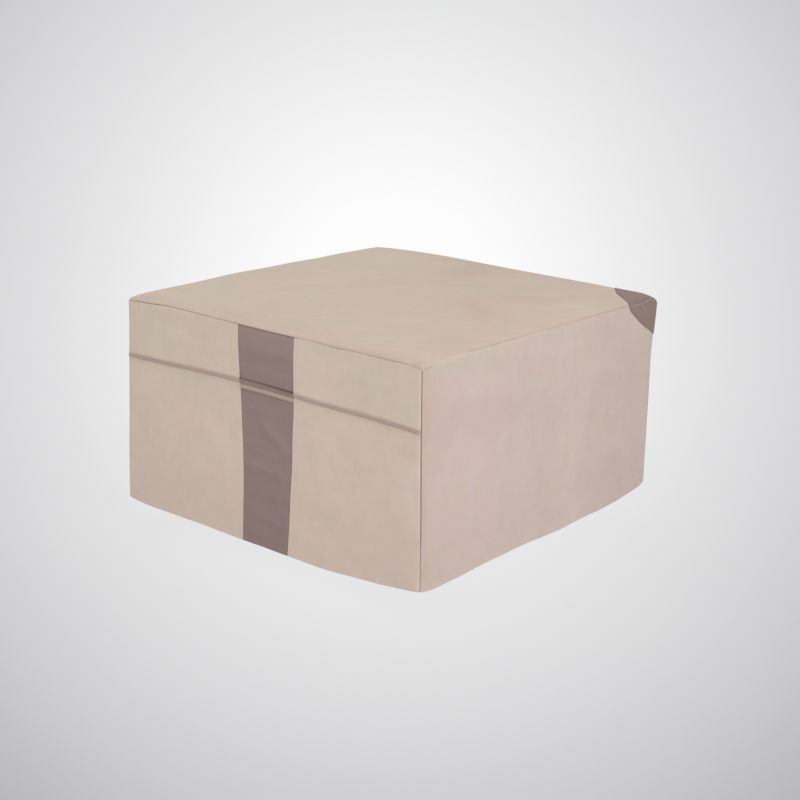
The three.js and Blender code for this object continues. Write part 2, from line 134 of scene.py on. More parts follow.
class Value:
    """One output of a material's nodes, so that a sum on it is written as a sum."""

    def __init__(self, owner, socket):
        """Keeps the Finish that the output is in, and the output."""
        self.owner = owner
        self.socket = socket

    __add__ = __radd__ = on_value("ADD")
    __sub__, __rsub__ = on_value("SUBTRACT"), on_value("SUBTRACT", True)
    __mul__ = __rmul__ = on_value("MULTIPLY")
    __truediv__, __rtruediv__ = on_value("DIVIDE"), on_value("DIVIDE", True)
    __pow__, __rpow__ = on_value("POWER"), on_value("POWER", True)
    __abs__, sine, arccosine = on_value("ABSOLUTE"), on_value("SINE"), on_value("ARCCOSINE")
    above, at_most, to_and_fro = on_value("GREATER_THAN"), on_value("MINIMUM"), on_value("PINGPONG")


class Finish:
    """A material and its nodes."""

    def __init__(self, name):
        """A material of this name with no nodes yet."""
        self.material = bpy.data.materials.new(name)
        self.material.use_nodes = True
        self.tree = self.material.node_tree
        self.tree.nodes.clear()

    def node(self, kind, settings=None, *numbered, output=0, **named):
        """Adds a node: its settings first, a ramp's stops among them, then the value or link of
        each socket, by number or by name with _ for a space. The result is one of its outputs."""
        made = self.tree.nodes.new("ShaderNode" + kind)
        for key, value in (settings or {}).items():
            if key == "stops":
                elements = made.color_ramp.elements
                while len(elements) < len(value):
                    elements.new(1.0)
                for element, (place, level) in zip(elements, value):
                    element.position = place
                    element.color = (level, level, level, 1.0)
            else:
                setattr(made, key, value)
        places = {socket.name.replace(" ", "_"): socket for socket in made.inputs if socket.enabled}
        places.update(enumerate(made.inputs))
        for key, value in [*enumerate(numbered), *named.items()]:
            if isinstance(value, Value):
                self.tree.links.new(value.socket, places[key])
            else:
                places[key].default_value = value
        return Value(self, made.outputs[output]) if made.outputs else None

    def ramp(self, factor, *stops):
        """A straight line from stop to stop, each a place and a value from 0 to 1."""
        return self.node("ValToRGB", {"stops": stops}, factor)

    def mixed(self, factor, first, second, blend="MIX"):
        """Two colours mixed by a factor."""
        settings = {"data_type": "RGBA", "blend_type": blend, "clamp_factor": True}
        return self.node("Mix", settings, output=2, Factor=factor, A=first, B=second)

    def noise(self, place, scale, detail, rough):
        """A noise from 0 to 1 that repeats scale times in a metre."""
        return self.node("TexNoise", Vector=place, Scale=scale, Detail=detail, Roughness=rough)

    def painted(self, name):
        """A number that the piece holds at each of its points."""
        return self.node("Attribute", {"attribute_name": name}, output="Fac")

    def finish(self, shader):
        """Ends the nodes in a shader, and gives back the material."""
        self.node("OutputMaterial", None, shader)
        return self.material


bend = np.linspace(-math.pi / 2, 0, BEND_RINGS)
profile_r = np.concatenate([
    np.linspace(1.0, FLOOR_RADIUS, FLOOR_RINGS + 1)[:-1],
    FLOOR_RADIUS + SWEEP_RADIUS * np.cos(bend),
    [FLOOR_RADIUS + SWEEP_RADIUS],
])
profile_z = np.concatenate([
    np.full(FLOOR_RINGS, FLOOR_Z),
    FLOOR_Z + SWEEP_RADIUS + SWEEP_RADIUS * np.sin(bend),
    [FLOOR_Z + WALL_HEIGHT],
])
heading = np.arange(STAGE_STEPS)[:, None] * 2 * math.pi / STAGE_STEPS
stage_x, stage_y = np.cos(heading) * profile_r, np.sin(heading) * profile_r
stage_points = np.stack([stage_x, stage_y, profile_z + 0 * heading], axis=-1)
stage_faces = grid_faces(STAGE_STEPS, len(profile_r), wrap=True)[:, ::-1]
stage = mesh_from("studio_sweep", stage_points.reshape(-1, 3), stage_faces)

aim_x, aim_y = (px - PICTURE_PX / 2 for px in POOL_AIM_PX)
pool_axis = forward * FOCAL_PX + right * aim_x + down * aim_y
pool_axis /= np.linalg.norm(pool_axis)
# the sweep glows with a painted pool of light: brightest on the pool's axis, dimmer and bluer off it
sweep = Finish("pale_sweep")
place = sweep.node("TexCoord", output="Object")
from_pool_point = sweep.node("VectorMath", {"operation": "SUBTRACT"}, place, [c / MM for c in POOL_FROM])
beam = sweep.node("VectorMath", {"operation": "NORMALIZE"}, from_pool_point)
toward = sweep.node("VectorMath", {"operation": "DOT_PRODUCT"}, beam, pool_axis.tolist(), output="Value")
off_axis = toward.arccosine()
pool_stops = [(POOL_SHARE * angle, level - SWEEP_TINT) for angle, level in POOL]
pool = sweep.ramp(off_axis * POOL_SHARE, *pool_stops)
bluer = 1 + off_axis.at_most(POOL[-1][0]) * POOL_BLUE
shell = sweep.node(
    "BsdfPrincipled",
    Base_Color=(SWEEP_TINT, SWEEP_TINT, SWEEP_TINT, 1.0),
    Roughness=1.0,
    Specular_IOR_Level=0.0,
    Emission_Color=sweep.node("CombineXYZ", None, pool, pool, pool * bluer),
    Emission_Strength=1.0,
)
stage.data.materials.append(sweep.finish(shell))

# how strong the even light from all round is
DOME = 0.5
bpy.context.scene.view_settings.view_transform = "Standard"
world = bpy.data.worlds.new("studio_air")
bpy.context.scene.world = world
world.use_nodes = True
air = world.node_tree.nodes["Background"].inputs
air["Color"].default_value = (1.0, 1.0, 1.0, 1.0)
air["Strength"].default_value = DOME
# for each soft window: where it stands, where it faces, its width, its height and its power
WINDOWS = {
    "front_window": ((-200, -3300, 1300), (0, -535, -100), 3000, 1200, 38),
    "left_window": ((-1500, -2900, 1900), (-200, -535, -100), 2000, 1200, 12),
    "right_window": ((3300, -1200, 1300), (535, -200, -100), 2200, 1200, 60),
    "high_right_window": ((2900, -900, 1900), (535, -200, -100), 2200, 1200, 10),
    "back_window": ((-1500, 1200, 2400), (-200, 100, 0), 2400, 2000, 23),
}
for name, (stand, aim, wide, tall, power) in WINDOWS.items():
    window_data = bpy.data.lights.new(name, "AREA")
    window_data.shape = "RECTANGLE"
    window_data.size = wide / MM
    window_data.size_y = tall / MM
    window_data.energy = power
    window = bpy.data.objects.new(name, window_data)
    bpy.context.scene.collection.objects.link(window)
    facing = (Vector(aim) - Vector(stand)).to_track_quat("-Z", "Y")
    window.matrix_world = Matrix.Translation(Vector(stand) / MM) @ facing.to_matrix().to_4x4()
    window.visible_camera = False


# The top: one square of smooth coated polyester cloth, a little stiff, pulled flat over what it
# covers. It is turned down over the edge and sewn all round, a few millimetres below it.
WIDTH = 1070.0
HALF = WIDTH / 2
DROP = 612.0
TOP = 2.0
CLOTH = 0.9
EDGE_RADIUS = 14.0
SIDES = {"front": 0, "right": 1, "back": 2, "left": 3}
# for each corner: its side of the square, how far it stands off there at the top and at the hem,
# and the share of the drop at which the hem's figures hold
CORNERS = [
    (-1, -1, -7, -7, -15, -15, 1.0),
    (1, -1, 1, -2, 8, 1, 1.0),
    (1, 1, 6.5, 6.5, 1, 1, 0.3),
    (-1, 1, -2, 2, -6, 6, 1.0),
]
# where the cloth lies lower: place, radius, and how far it sinks, or rises where under nothing
LOW_SPOTS = [
    (-535, -535, 50, 3.3), (535, -535, 50, 8), (535, 535, 50, 4), (-535, 535, 50, 4),
    (-535, 460, 140, 5.5), (-230, 535, 170, -2.7), (430, 535, 80, 2.3), (535, 535, 30, 8),
    (-535, -535, 22, 2.2), (-535, -130, 100, -2.8), (-535, 240, 90, 2.8),
]
# the share of the drop over which the sinking dies away, and the furthest that a lean goes on
SINK_FADE = 0.5
LOWEST = 1.1
# for each soft fold of a wall: its place along it, how far it leans on the way down, where it
# starts, half its width, and how far it stands out
FOLDS = {
    "front": [
        (130, -30, 180, 60, 2.5), (340, 15, 260, 70, -2.5), (770, -25, 220, 70, 3), (940, 20, 280, 55, -2.5),
    ],
    "right": [
        (120, -20, 200, 55, -2), (310, 25, 180, 75, 3), (580, -15, 240, 65, -3), (830, 20, 120, 80, 3),
    ],
    "back": [(200, 20, 150, 70, 3), (500, -15, 220, 80, -3), (840, 20, 200, 70, 3)],
    "left": [(180, -20, 200, 70, -2.5), (470, 20, 160, 80, 3), (800, 15, 240, 70, -2.5)],
}
# the fall over which a fold grows, how near a corner it dies, and which points lie on a wall
FOLD_GROWTH = 240.0
FOLD_HOLD = 60.0
WALL_FROM = 0.93
WALL_BLEND = 0.05
# the seam round the top: place along each wall, and depth below the sharp edge
TOP_SEAM = {
    "front": [
        (0, 7.5), (20, 8.1), (48, 9.3), (76, 9), (104, 7.6), (132, 5.2), (160, 2.2), (188, 2.4), (216, 2.8),
        (244, 3.3), (287, 5), (330, 6.1), (356, 7), (384, 7), (412, 7.2), (440, 8), (471, 8.4), (590, 9.6),
        (645, 9.2), (700, 8.8), (811, 11.2), (864, 9.8), (970, 10.5), (1020, 8.8), (1050, 7.5), (1070, 9),
    ],
    "right": [
        (0, 9), (14, 13.5), (27, 15), (38, 13), (53, 9.1), (70, 4.1), (88, 0.9), (103, -0.5), (135, -0.9),
        (151, -0.2), (175, 2.2), (201, 3.8), (266, 4.5), (300, 5.3), (334, 4.3), (368, 4.8), (403, 3.6),
        (474, 3.8), (543, 7.6), (617, 6.4), (694, 7.2), (770, 7.1), (840, 8.3), (889, 7.8), (922, 9.4),
        (983, 12.5), (1070, 8),
    ],
    "back": [(0, 8), (120, 5), (400, 7), (700, 4), (950, 6), (1070, 4)],
    "left": [(0, 4), (200, 6), (500, 3), (800, 6), (1070, 4)],
}
# how strongly that seam shows along each wall, in its roll and its painted shade line: 0 not at
# all, 1 as a sewn seam does, and under nothing as a painted light line
SEAM_SHOWS = {
    "front": [
        (0, 0.7), (48, 0.9), (90, 1), (132, 1.6), (160, 1.75), (190, 1.3), (244, 1.35), (272, 1), (300, 0.9),
        (328, 0.6), (384, 0.6), (412, 0.75), (435, 0.85), (450, 1.1), (635, 1), (660, 0.3), (740, 0.3),
        (790, 0.6), (830, 0.25), (900, 0.3), (960, 0.45), (1010, 0.25), (1070, 0.15),
    ],
    "right": [
        (0, 0.1), (25, -0.35), (60, -0.25), (80, 0.2), (100, 0.2), (160, 0.1), (200, 0.3), (300, 0.3),
        (400, 0.4), (450, 0.15), (620, 0.05), (680, 0.25), (1070, 0.25),
    ],
    "back": [(0, 0.6), (1070, 0.6)],
    "left": [(0, 0.6), (1070, 0.6)],
}
# a sewn edge: half the slit at the seam, the roll's stops in degrees, its radius, the cloth
# tucked in behind it, and how dark and how wide the painted shade line beside it is
SEAM_HALF = 0.2
ROLL_STOPS = [0, 20, 40, 60, 78, 90]
SEAM_RADIUS = 1.3
SEAM_TUCK = 5.0
SEAM_SHADE = 0.42
SEAM_LINE = 1.7
# the mesh's first stops in from a sewn edge, and its step on the flat
FACE_STOPS = [2.3, 3.2, 4.3, 5.6, 7.2, 9.2, 11.5, 14.2, 17.3, 21.0, 25.5, 31.0]
TOP_STEP = 9.0
SHARP_EDGE = math.radians(60)
TINY = 1e-9
# the low ridge that stands beside a seam: its height, how far off and how wide, then its fine
# puckers' height, how far off they rise and reach, and for each its turn with each millimetre
# and where it starts
RIDGE_HEIGHT = 0.4
RIDGE = (4.2, 2.2)
PUCKER = 0.09
PUCKER_RISE, PUCKER_REACH = 3.0, 14.0
PUCKERS = [(0.31, 0), (0.173, 1.3), (0.097, 4.1)]


def bell(away, half):
    """1 in the middle, dying away over half: e to the power of less the square of their ratio."""
    return np.exp(-((away / half) ** 2))


def ease(share):
    """0 to 1 with level ends: 3 t squared less 2 t cubed."""
    t = np.clip(share, 0, 1)
    return t * t * (3 - 2 * t)


def curve_at(rows, at):
    """The second column of a table at places along its first: a cubic from row to row, whose slope
    at a row is that of the line through its two neighbours."""
    key, value = np.array(rows, float).T
    number = np.arange(len(key))
    before = np.maximum(number - 1, 0)
    after = np.minimum(number + 1, len(key) - 1)
    slope = (value[after] - value[before]) / (key[after] - key[before])
    high = np.clip(np.searchsorted(key, at), 1, len(key) - 1)
    low = high - 1
    span = key[high] - key[low]
    t = np.clip((at - key[low]) / span, 0, 1)
    bend = t * (1 - t) * span * (slope[low] * (1 - t) - slope[high] * t)
    return value[low] + (value[high] - value[low]) * ease(t) + bend


def turned(points, quarters):
    """Points turned about Z by a number of quarter turns."""
    cosine, sine = [(1, 0), (0, 1), (-1, 0), (0, -1)][quarters % 4]
    x, y, z = np.moveaxis(points, -1, 0)
    return np.stack([cosine * x - sine * y, sine * x + cosine * y, z], axis=-1)


def box_point(side, along, depth):
    """A point of the sharp box, along a wall from its left corner and below its top edge. A depth
    under nothing is in over the top, towards its middle."""
    inward = 1 + np.minimum(depth, 0) / HALF
    x, y, z = np.broadcast_arrays((along - HALF) * inward, -HALF * inward, TOP - np.maximum(depth, 0))
    return turned(np.stack([x, y, z], axis=-1), SIDES[side])


def rounded(points, offset):
    """The box with round edges: from the nearest point of a smaller box, out by the edge radius
    and the offset."""
    reach = HALF - EDGE_RADIUS
    core = np.clip(points, -reach, reach)
    core[..., 2] = np.minimum(points[..., 2], TOP - EDGE_RADIUS)
    outward = points - core
    outward = outward / np.linalg.norm(outward, axis=-1, keepdims=True)
    return core + outward * (EDGE_RADIUS + np.asarray(offset))[..., None]


def fold_out(side, along, depth):
    """The sum of a wall's soft folds: for each, a bell across it times an eased growth downwards,
    all dying away towards the corners."""
    out = np.zeros(np.broadcast(along, depth).shape)
    for middle, lean, start, half, reach in FOLDS[side]:
        out += reach * bell(along - middle - lean * depth / DROP, half) * ease((depth - start) / FOLD_GROWTH)
    return out * ease(np.minimum(along, WIDTH - along) / FOLD_HOLD)


def settled(points):
    """The way the cloth hangs: each corner's lean, shared out by how near it is, a top that sinks
    in places, as bells that die away downwards, and the walls' soft folds."""
    x, y, z = np.moveaxis(points, -1, 0)
    depth = np.clip((TOP - z) / DROP, 0, LOWEST)
    moved = points.copy()
    for at_x, at_y, top_x, top_y, hem_x, hem_y, reach in CORNERS:
        share = (1 + at_x * x / HALF) * (1 + at_y * y / HALF) / 4
        lean = ease(depth / reach)
        moved[..., 0] += share * (top_x + (hem_x - top_x) * lean)
        moved[..., 1] += share * (top_y + (hem_y - top_y) * lean)
    for at_x, at_y, radius, sink in LOW_SPOTS:
        moved[..., 2] -= sink * bell(np.hypot(x - at_x, y - at_y), radius) * (1 - ease(depth / SINK_FADE))
    for side, quarters in SIDES.items():
        local = turned(points, -quarters)
        on_wall = ease((-local[..., 1] / HALF - WALL_FROM) / WALL_BLEND)
        out = on_wall * fold_out(side, local[..., 0] + HALF, TOP - z)
        moved += turned(np.stack([0 * out, -out, 0 * out], axis=-1), quarters)
    return moved


def cover_point(side, along, depth, offset):
    """A point on the cover's outside, or off it by an offset."""
    return settled(rounded(box_point(side, along, depth), offset))


def turned_edge(radius, tuck):
    """A sewn edge, from the end of the cloth tucked inside, over a quarter circle and onto the
    face: distances from the seam's line, and how far below the face."""
    angle = np.radians(ROLL_STOPS)
    away = np.concatenate([[0, 0], radius * (1 - np.cos(angle))]) + SEAM_HALF
    drop = np.concatenate([[radius + tuck, radius + tuck / 2], radius * (1 - np.sin(angle))])
    return np.append(away, FACE_STOPS), np.append(drop, np.zeros(len(FACE_STOPS)))


def near(away, rows):
    """The sum of bells beside a line: for each its height, its distance off the line and its half
    width."""
    return sum(height * bell(away - middle, half) for height, middle, half in rows)


def seam_swell(away, along, height=RIDGE_HEIGHT):
    """What the tucked cloth adds beside a seam: a low ridge that follows it, and fine puckers
    along it, a sum of sines that fades out across the face."""
    pucker = PUCKER * sum(np.sin(along * each + start) for each, start in PUCKERS)
    return near(away, [(height, *RIDGE)]) + pucker * bell(away, PUCKER_REACH) * ease(away / PUCKER_RISE)


def painted_seam_shade(away, strength):
    """Painted shade beside a seam, along its groove: a bell, lighter instead where the strength is under
    nothing.
    """
    return SEAM_SHADE * strength * bell(away, SEAM_LINE)


def sewn_drop(drop, strength):
    """A top seam's drop, with its round part made shallower where the seam hardly shows."""
    return np.where(drop >= SEAM_RADIUS, drop, drop * np.clip(strength, 0, 1))


# what shows on the top. Each row is a bell: its middle, the heading of its run in degrees, half
# its length, half its width, and its height. The creases stand out by millimetres, the lights are
# painted light and shade as shares of brightness, a tone is greener under nothing and pinker over
# it, a blue is a share too
TOP_LOOK = {
    "creases": [
        (-160, -40, 45, 170, 90, 3.2), (-60, -373, 45, 90, 60, 1.6), (0, 345, 45, 120, 60, 1.9),
        (270, 330, 45, 90, 50, 1.8), (390, 225, 45, 80, 55, 1.8), (455, -315, 45, 70, 50, 1.6),
        (290, -400, 45, 90, 50, 1.5), (-450, -390, 45, 70, 50, 1.6), (-330, 90, 30, 90, 50, -1.4),
        (120, 60, 60, 110, 60, -1.3), (180, -180, 35, 80, 34, 0.9), (-300, -250, 50, 70, 30, 0.7),
        (60, 200, 45, 60, 30, 0.7), (400, 0, 50, 70, 36, 0.8), (-200, 260, 40, 80, 40, 0.9),
    ],
    "lights": [
        (-277, -5, 72, 130, 60, 0.07), (-352, 385, 0, 90, 80, 0.03), (-40, 390, -67, 150, 62, -0.075),
        (-150, 500, 4, 170, 36, -0.045), (300, 0, -42, 170, 52, -0.07), (270, 215, 20, 70, 45, -0.05),
        (-90, -475, 0, 300, 40, -0.048), (-130, -390, -30, 110, 50, -0.03), (470, -344, -60, 90, 60, -0.05),
        (305, -285, 0, 70, 60, -0.018), (-465, -498, 0, 50, 45, -0.05), (400, -515, 5, 150, 18, -0.045),
        (450, 240, 80, 90, 50, 0.05), (110, 240, -60, 70, 45, -0.03), (522, -524, 0, 44, 26, -0.08),
        (40, -400, -20, 120, 46, -0.03), (505, 150, 85, 120, 26, 0.04), (-120, -500, 0, 330, 28, -0.035),
        (300, -490, 0, 230, 34, -0.02), (500, 0, 90, 420, 22, -0.018), (-380, -400, 0, 110, 70, -0.013),
        (535, -535, 0, 280, 280, -0.034), (-535, 535, 0, 400, 400, 0.03),
    ],
    "tone": [
        (-515, 0, 90, 220, 90, -1.1), (-356, 294, 0, 120, 90, -0.9), (71, -357, 0, 60, 50, -0.9),
        (231, -279, 0, 50, 40, -0.9), (104, 228, 0, 50, 50, -0.8), (205, 385, 0, 60, 50, -0.8),
        (-419, -364, 0, 90, 60, -0.9), (-237, -147, 0, 90, 70, -0.5), (372, -20, 20, 260, 200, 0.4),
    ],
    "blue": [
        (-100, -200, 0, 120, 90, 0.01), (-200, -490, 0, 420, 45, 0.025), (300, -490, 0, 220, 40, 0.015),
        (500, 0, 90, 420, 24, 0.03), (200, 150, 40, 260, 160, 0.006),
    ],
}
# how much painted light a slope adds for each unit of its rise, half the step that measures it,
# and the way over the top from its front right corner to its back left one
SLOPE_LIGHT = 0.45
SLOPE_STEP = 2.0
OVER_THE_TOP = (-math.sqrt(0.5), math.sqrt(0.5))


def bells(rows, across, down):
    """The sum of such rows: for each, a bell along its run times a bell across it."""
    out = np.zeros(np.broadcast(across, down).shape)
    for middle, deep, heading, long, half, height in rows:
        cosine, sine = math.cos(math.radians(heading)), math.sin(math.radians(heading))
        run = (across - middle) * cosine + (down - deep) * sine
        side = (down - deep) * cosine - (across - middle) * sine
        out += height * bell(run, long) * bell(side, half)
    return out


def painted_lightness(look, across, down, way=(0, 1)):
    """How much lighter the cloth is painted: its painted lights, and painted light and shade by its
    creases' rise over a small step one way, times a share. That is lighter where a wall's creases
    face up, and where the top's face its front right corner."""
    places = [(across + step * way[0], down + step * way[1]) for step in (SLOPE_STEP, -SLOPE_STEP)]
    ahead, behind = (bells(look["creases"], *place) for place in places)
    return SLOPE_LIGHT * (ahead - behind) / (2 * SLOPE_STEP) + bells(look.get("lights", []), across, down)


def hues(look, across, down):
    """A piece's tone and blue, each the sum of its bells."""
    return {hue: bells(look.get(hue, []), across, down) for hue in ("tone", "blue")}


def sheet_from(name, face, uv, back=None, wrap=False, **attributes):
    """A closed sheet of cloth from its outside face, a grid of columns to the right and rows down.
    Its back is one thickness in along the face's own normals, and strips close its edges."""
    columns, rows = face.shape[:2]
    if back is None:
        normal = np.cross(np.gradient(face, axis=1), np.gradient(face, axis=0))
        back = face - CLOTH * normal / np.maximum(np.linalg.norm(normal, axis=-1, keepdims=True), TINY)
    count = columns * rows
    number = np.arange(count).reshape(columns, rows)
    edges = [number[:, -1], number[::-1, 0]]
    if not wrap:
        edges += [number[0], number[-1, ::-1]]
    outside = grid_faces(columns, rows, wrap)
    faces = [outside, outside[:, ::-1] + count]
    for line in edges:
        line = np.append(line, line[0]) if wrap else line
        faces.append(np.stack([line[:-1], line[:-1] + count, line[1:] + count, line[1:]], axis=-1))
    for label, each in attributes.items():
        attributes[label] = np.tile(np.broadcast_to(each, (columns, rows)).ravel(), 2)
    points = np.concatenate([face.reshape(-1, 3), back.reshape(-1, 3)])
    made = mesh_from(name, points, np.concatenate(faces), np.tile(uv.reshape(-1, 2), (2, 1)), **attributes)
    made.data.set_sharp_from_angle(angle=SHARP_EDGE)
    return made


def sew_in(piece, cloth, node, slot, **cut):
    """Gives a piece its cloth, hangs it from the root and hides the model's node that it stands for. Its
    slot and how it was cut are not used.
    """
    piece.data.materials.append(cloth)
    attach(piece, "root")
    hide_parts(node)


def linear(screen):
    """A screen colour from 0 to 255 as light, by the sRGB curve."""
    share = np.array(screen) / 255
    light = np.where(share <= 0.04045, share / 12.92, ((share + 0.055) / 1.055) ** 2.4)
    return (*light.tolist(), 1.0)


YARN = 0.9
TWILL_LEAN = 0.5
STITCH = 3.4
# the cloth's noises: how often each repeats in a metre, its detail and its roughness. The yarns'
# own repeats are long along a yarn and close across it
DRIFT, PATCHES, GRAIN, CHILL, YARNS = (11, 4, 0.6), (34, 3, 0.6), (420, 2, 0.7), (23, 3, 0.65), (1, 2, 0.5)
YARN_LONG, YARN_CLOSE = 12.0, 520.0
# how much the drift, the patches, the grain and the yarns each way change the brightness
UNEVEN = (0.08, 0.095, 0.06, 0.08, 0.08)
# what drifts the tone: the drift, the patches and the placed tone, and where the ramp runs
TONE_SHARES = (0.6, 0.4, 0.28)
TONE_RAMP = (0.36, 0.0), (0.64, 1.0)
# the power that flattens a yarn's back, the weave's least brightness and what a yarn adds to it
YARN_FLAT = 0.35
WEAVE_LEAST, WEAVE_ADDS = 0.95, 0.07
# painted shade warms the cloth as it darkens it: the powers of that shade in red, and in green and blue
RED_POWER, COOL_POWER = 0.88, 1.05
# a stitch fades between these shares of its half length, and across it between these of its reach
STITCH_ENDS = (0.14, 0.3)
STITCH_REACH = 2.0
# relief in metres: the weave, the grain, the yarns and a stitch
HEIGHTS = (0.00008, 0.00006, 0.00005, 0.00025)
# the cloth's roughness, and what its patches add to that
DULL, DULL_ADDS = 0.80, 0.12


def cloth_finish(name, green_tone, pink_tone, thread, yarn=YARN, twill=False, cool=0.1):
    """Coated cloth: a plain weave by its UV map, two tones that drift into each other, a drift of
    blue by the share cool, uneven yarns, and a lockstitch where the piece has a stitch line. Each
    piece's painted light and shade, held at its points as shade, lightens or darkens it."""
    cloth = Finish(name)
    place = cloth.node("TexCoord", output="Object")
    uv = cloth.node("UVMap", {"uv_map": "UVMap"})
    turns = MM * math.pi / yarn
    across, along = (cloth.node("SeparateXYZ", None, uv, output=axis) * turns for axis in "XY")
    if twill:
        along = along + across * TWILL_LEAN
    warp, weft = abs(across.sine()), abs(along.sine())
    over = (across.sine() * along.sine()).above(0.0)
    weave = over * warp * weft**YARN_FLAT + (1 - over) * weft * warp**YARN_FLAT
    drift, patches, grain, chill = (cloth.noise(place, *kind) for kind in (DRIFT, PATCHES, GRAIN, CHILL))
    slub, streak = (
        cloth.noise(cloth.node("Mapping", Vector=uv, Scale=(*scale, 1.0)), *YARNS)
        for scale in ((YARN_LONG, YARN_CLOSE), (YARN_CLOSE, YARN_LONG))
    )
    by_drift, by_patches, by_paint = TONE_SHARES
    tone = cloth.ramp(drift * by_drift + patches * by_patches + cloth.painted("tone") * by_paint, *TONE_RAMP)
    level = 1
    for noise, share in zip((drift, patches, grain, slub, streak), UNEVEN):
        level = level + (noise - 0.5) * share
    level = level * (WEAVE_LEAST + weave * WEAVE_ADDS)
    blue = level * (1 + (chill - 0.5) * cool + cloth.painted("blue"))
    # the painted light and shade that each piece holds at its points
    shade = cloth.painted("shade")
    darker = shade**COOL_POWER
    grey = cloth.node("CombineXYZ", None, level * shade**RED_POWER, level * darker, blue * darker)
    colour = cloth.mixed(1.0, cloth.mixed(tone, linear(green_tone), linear(pink_tone)), grey, "MULTIPLY")
    full, none = STITCH_ENDS
    beside = cloth.ramp(abs(cloth.painted("stitch_off")) / STITCH_REACH, (full, 1.0), (none, 0.0))
    dash = cloth.painted("stitch_run").to_and_fro(STITCH / 2) / (STITCH / 2)
    stitch = beside * cloth.ramp(dash, (full, 0.0), (none, 1.0))
    by_weave, by_grain, by_yarns, by_stitch = HEIGHTS
    height = weave * by_weave + grain * by_grain + (slub + streak) * by_yarns + stitch * by_stitch
    shader = cloth.node(
        "BsdfPrincipled",
        Base_Color=cloth.mixed(stitch, colour, linear(thread)),
        Roughness=DULL + patches * DULL_ADDS,
        Normal=cloth.node("Bump", Height=height, Strength=0.8, Distance=1.0),
        Specular_IOR_Level=0.25,
        Sheen_Weight=0.06,
    )
    return cloth.finish(shader)


top_beige = cloth_finish("top_cloth", (199.2, 184.3, 166.6), (203.3, 182.3, 166.0), (190, 174, 160))

# the top's mesh is square rings that follow the edge. Rings tucked inside the edge shrink a little
# from each to the next, so that no two fall together
HIDDEN_STEP = 0.02
HIDDEN_WITHIN = 2.0
# the seam's own path flattens out over this far, as do the creases over the other
SEAM_FLATTENS = 90.0
CREASE_HOLD = 60.0
# painted shade where the cloth turns down over each edge: how much darker, how far in and over
# how much, and the share of that at the wall's start and what its length adds
EDGE_SHADE = {"front": 0.12, "right": 0.045, "back": 0.0, "left": 0.0}
EDGE_TURN = (6, 13)
EDGE_START, EDGE_ADDS = 0.9, 0.2
# the ridge's height on the top's own side of its seam, and that side's share of the painted shade line
TOP_SWELL = 0.25
TOP_SEAM_SHARE = 0.8

seam_away, seam_drop = turned_edge(SEAM_RADIUS, SEAM_TUCK)
steps = round((HALF - seam_away[-1]) / TOP_STEP)
half_away = np.append(seam_away, np.linspace(seam_away[-1], HALF, steps + 1)[1:])
half_drop = np.append(seam_drop, np.zeros(steps))
hidden = HIDDEN_STEP * np.arange(len(half_away)) * (half_away < HIDDEN_WITHIN)
ring_half = HALF - np.maximum.accumulate(half_away + hidden)
flat = np.concatenate([-ring_half, ring_half[-2::-1]])
column_x, row_y = np.meshgrid(flat, flat[::-1], indexing="ij")
number = np.minimum(np.arange(len(flat)), np.arange(len(flat))[::-1])
ring = np.minimum(number[:, None], number[None, :])
half_here = np.maximum(ring_half[ring], TINY)
top_points = np.zeros((*ring.shape, 3))
top_shade = 1 + painted_lightness(TOP_LOOK, column_x, row_y, OVER_THE_TOP)
on_right = (column_x >= np.abs(row_y)) & (column_x > 0)
on_left = (-column_x >= np.abs(row_y)) & (column_x < 0)
on_back = row_y > np.abs(column_x)
for side, mask, run in [
    ("front", ~(on_right | on_left | on_back), column_x),
    ("right", on_right, row_y),
    ("back", on_back, -column_x),
    ("left", on_left, -row_y),
]:
    along = HALF * (1 + np.clip(run[mask] / half_here[mask], -1, 1))
    away = half_away[ring[mask]]
    depth = curve_at(TOP_SEAM[side], along) * (1 - ease(away / SEAM_FLATTENS)) - away
    shows = curve_at(SEAM_SHOWS[side], along)
    relief = bells(TOP_LOOK["creases"], column_x[mask], row_y[mask]) * ease(away / CREASE_HOLD)
    offset = relief + seam_swell(away, along, TOP_SWELL) - sewn_drop(half_drop[ring[mask]], shows)
    top_points[mask] = cover_point(side, along, depth, offset)
    # painted shade on the top where it turns down over the edge, and along its seam
    turned_down_shade = near(away, [(EDGE_SHADE[side], *EDGE_TURN)])
    turned_down_shade *= EDGE_START + EDGE_ADDS * along / WIDTH
    top_shade[mask] -= painted_seam_shade(away, TOP_SEAM_SHARE * shows) + turned_down_shade
top_hues = hues(TOP_LOOK, column_x, row_y)
top_uv = np.stack([column_x, row_y], axis=-1)
top_cloth = sheet_from("top_cloth", top_points, top_uv, shade=top_shade, **top_hues)
sew_in(top_cloth, top_beige, "top_panel", "beige_cloth", flat=(1.09, 1.09), held="laid")


# The three plain walls: the right one in a slightly pinker batch of the same cloth, the back and
# left ones as the front. Each hangs from the top's seam to a turned-up hem, and they meet in seams
# down the corners.
HEM = {
    "right": [
        (0, 602), (26, 606.5), (60, 609.8), (118, 609), (207, 604.8), (298, 600.1), (391, 599.3),
        (488, 601.2), (560, 604.9), (620, 605.5), (695, 601.9), (746, 599.6), (806, 598.8), (880, 595.8),
        (915, 595), (957, 590.9), (1000, 586), (1040, 580.5), (1070, 566),
    ],
    "back": [(0, 566), (60, 579), (180, 592), (420, 600), (700, 605), (950, 606), (1070, 601)],
    "left": [(0, 601), (120, 607), (380, 611), (640, 608), (900, 612), (1010, 607), (1070, 599.5)],
}
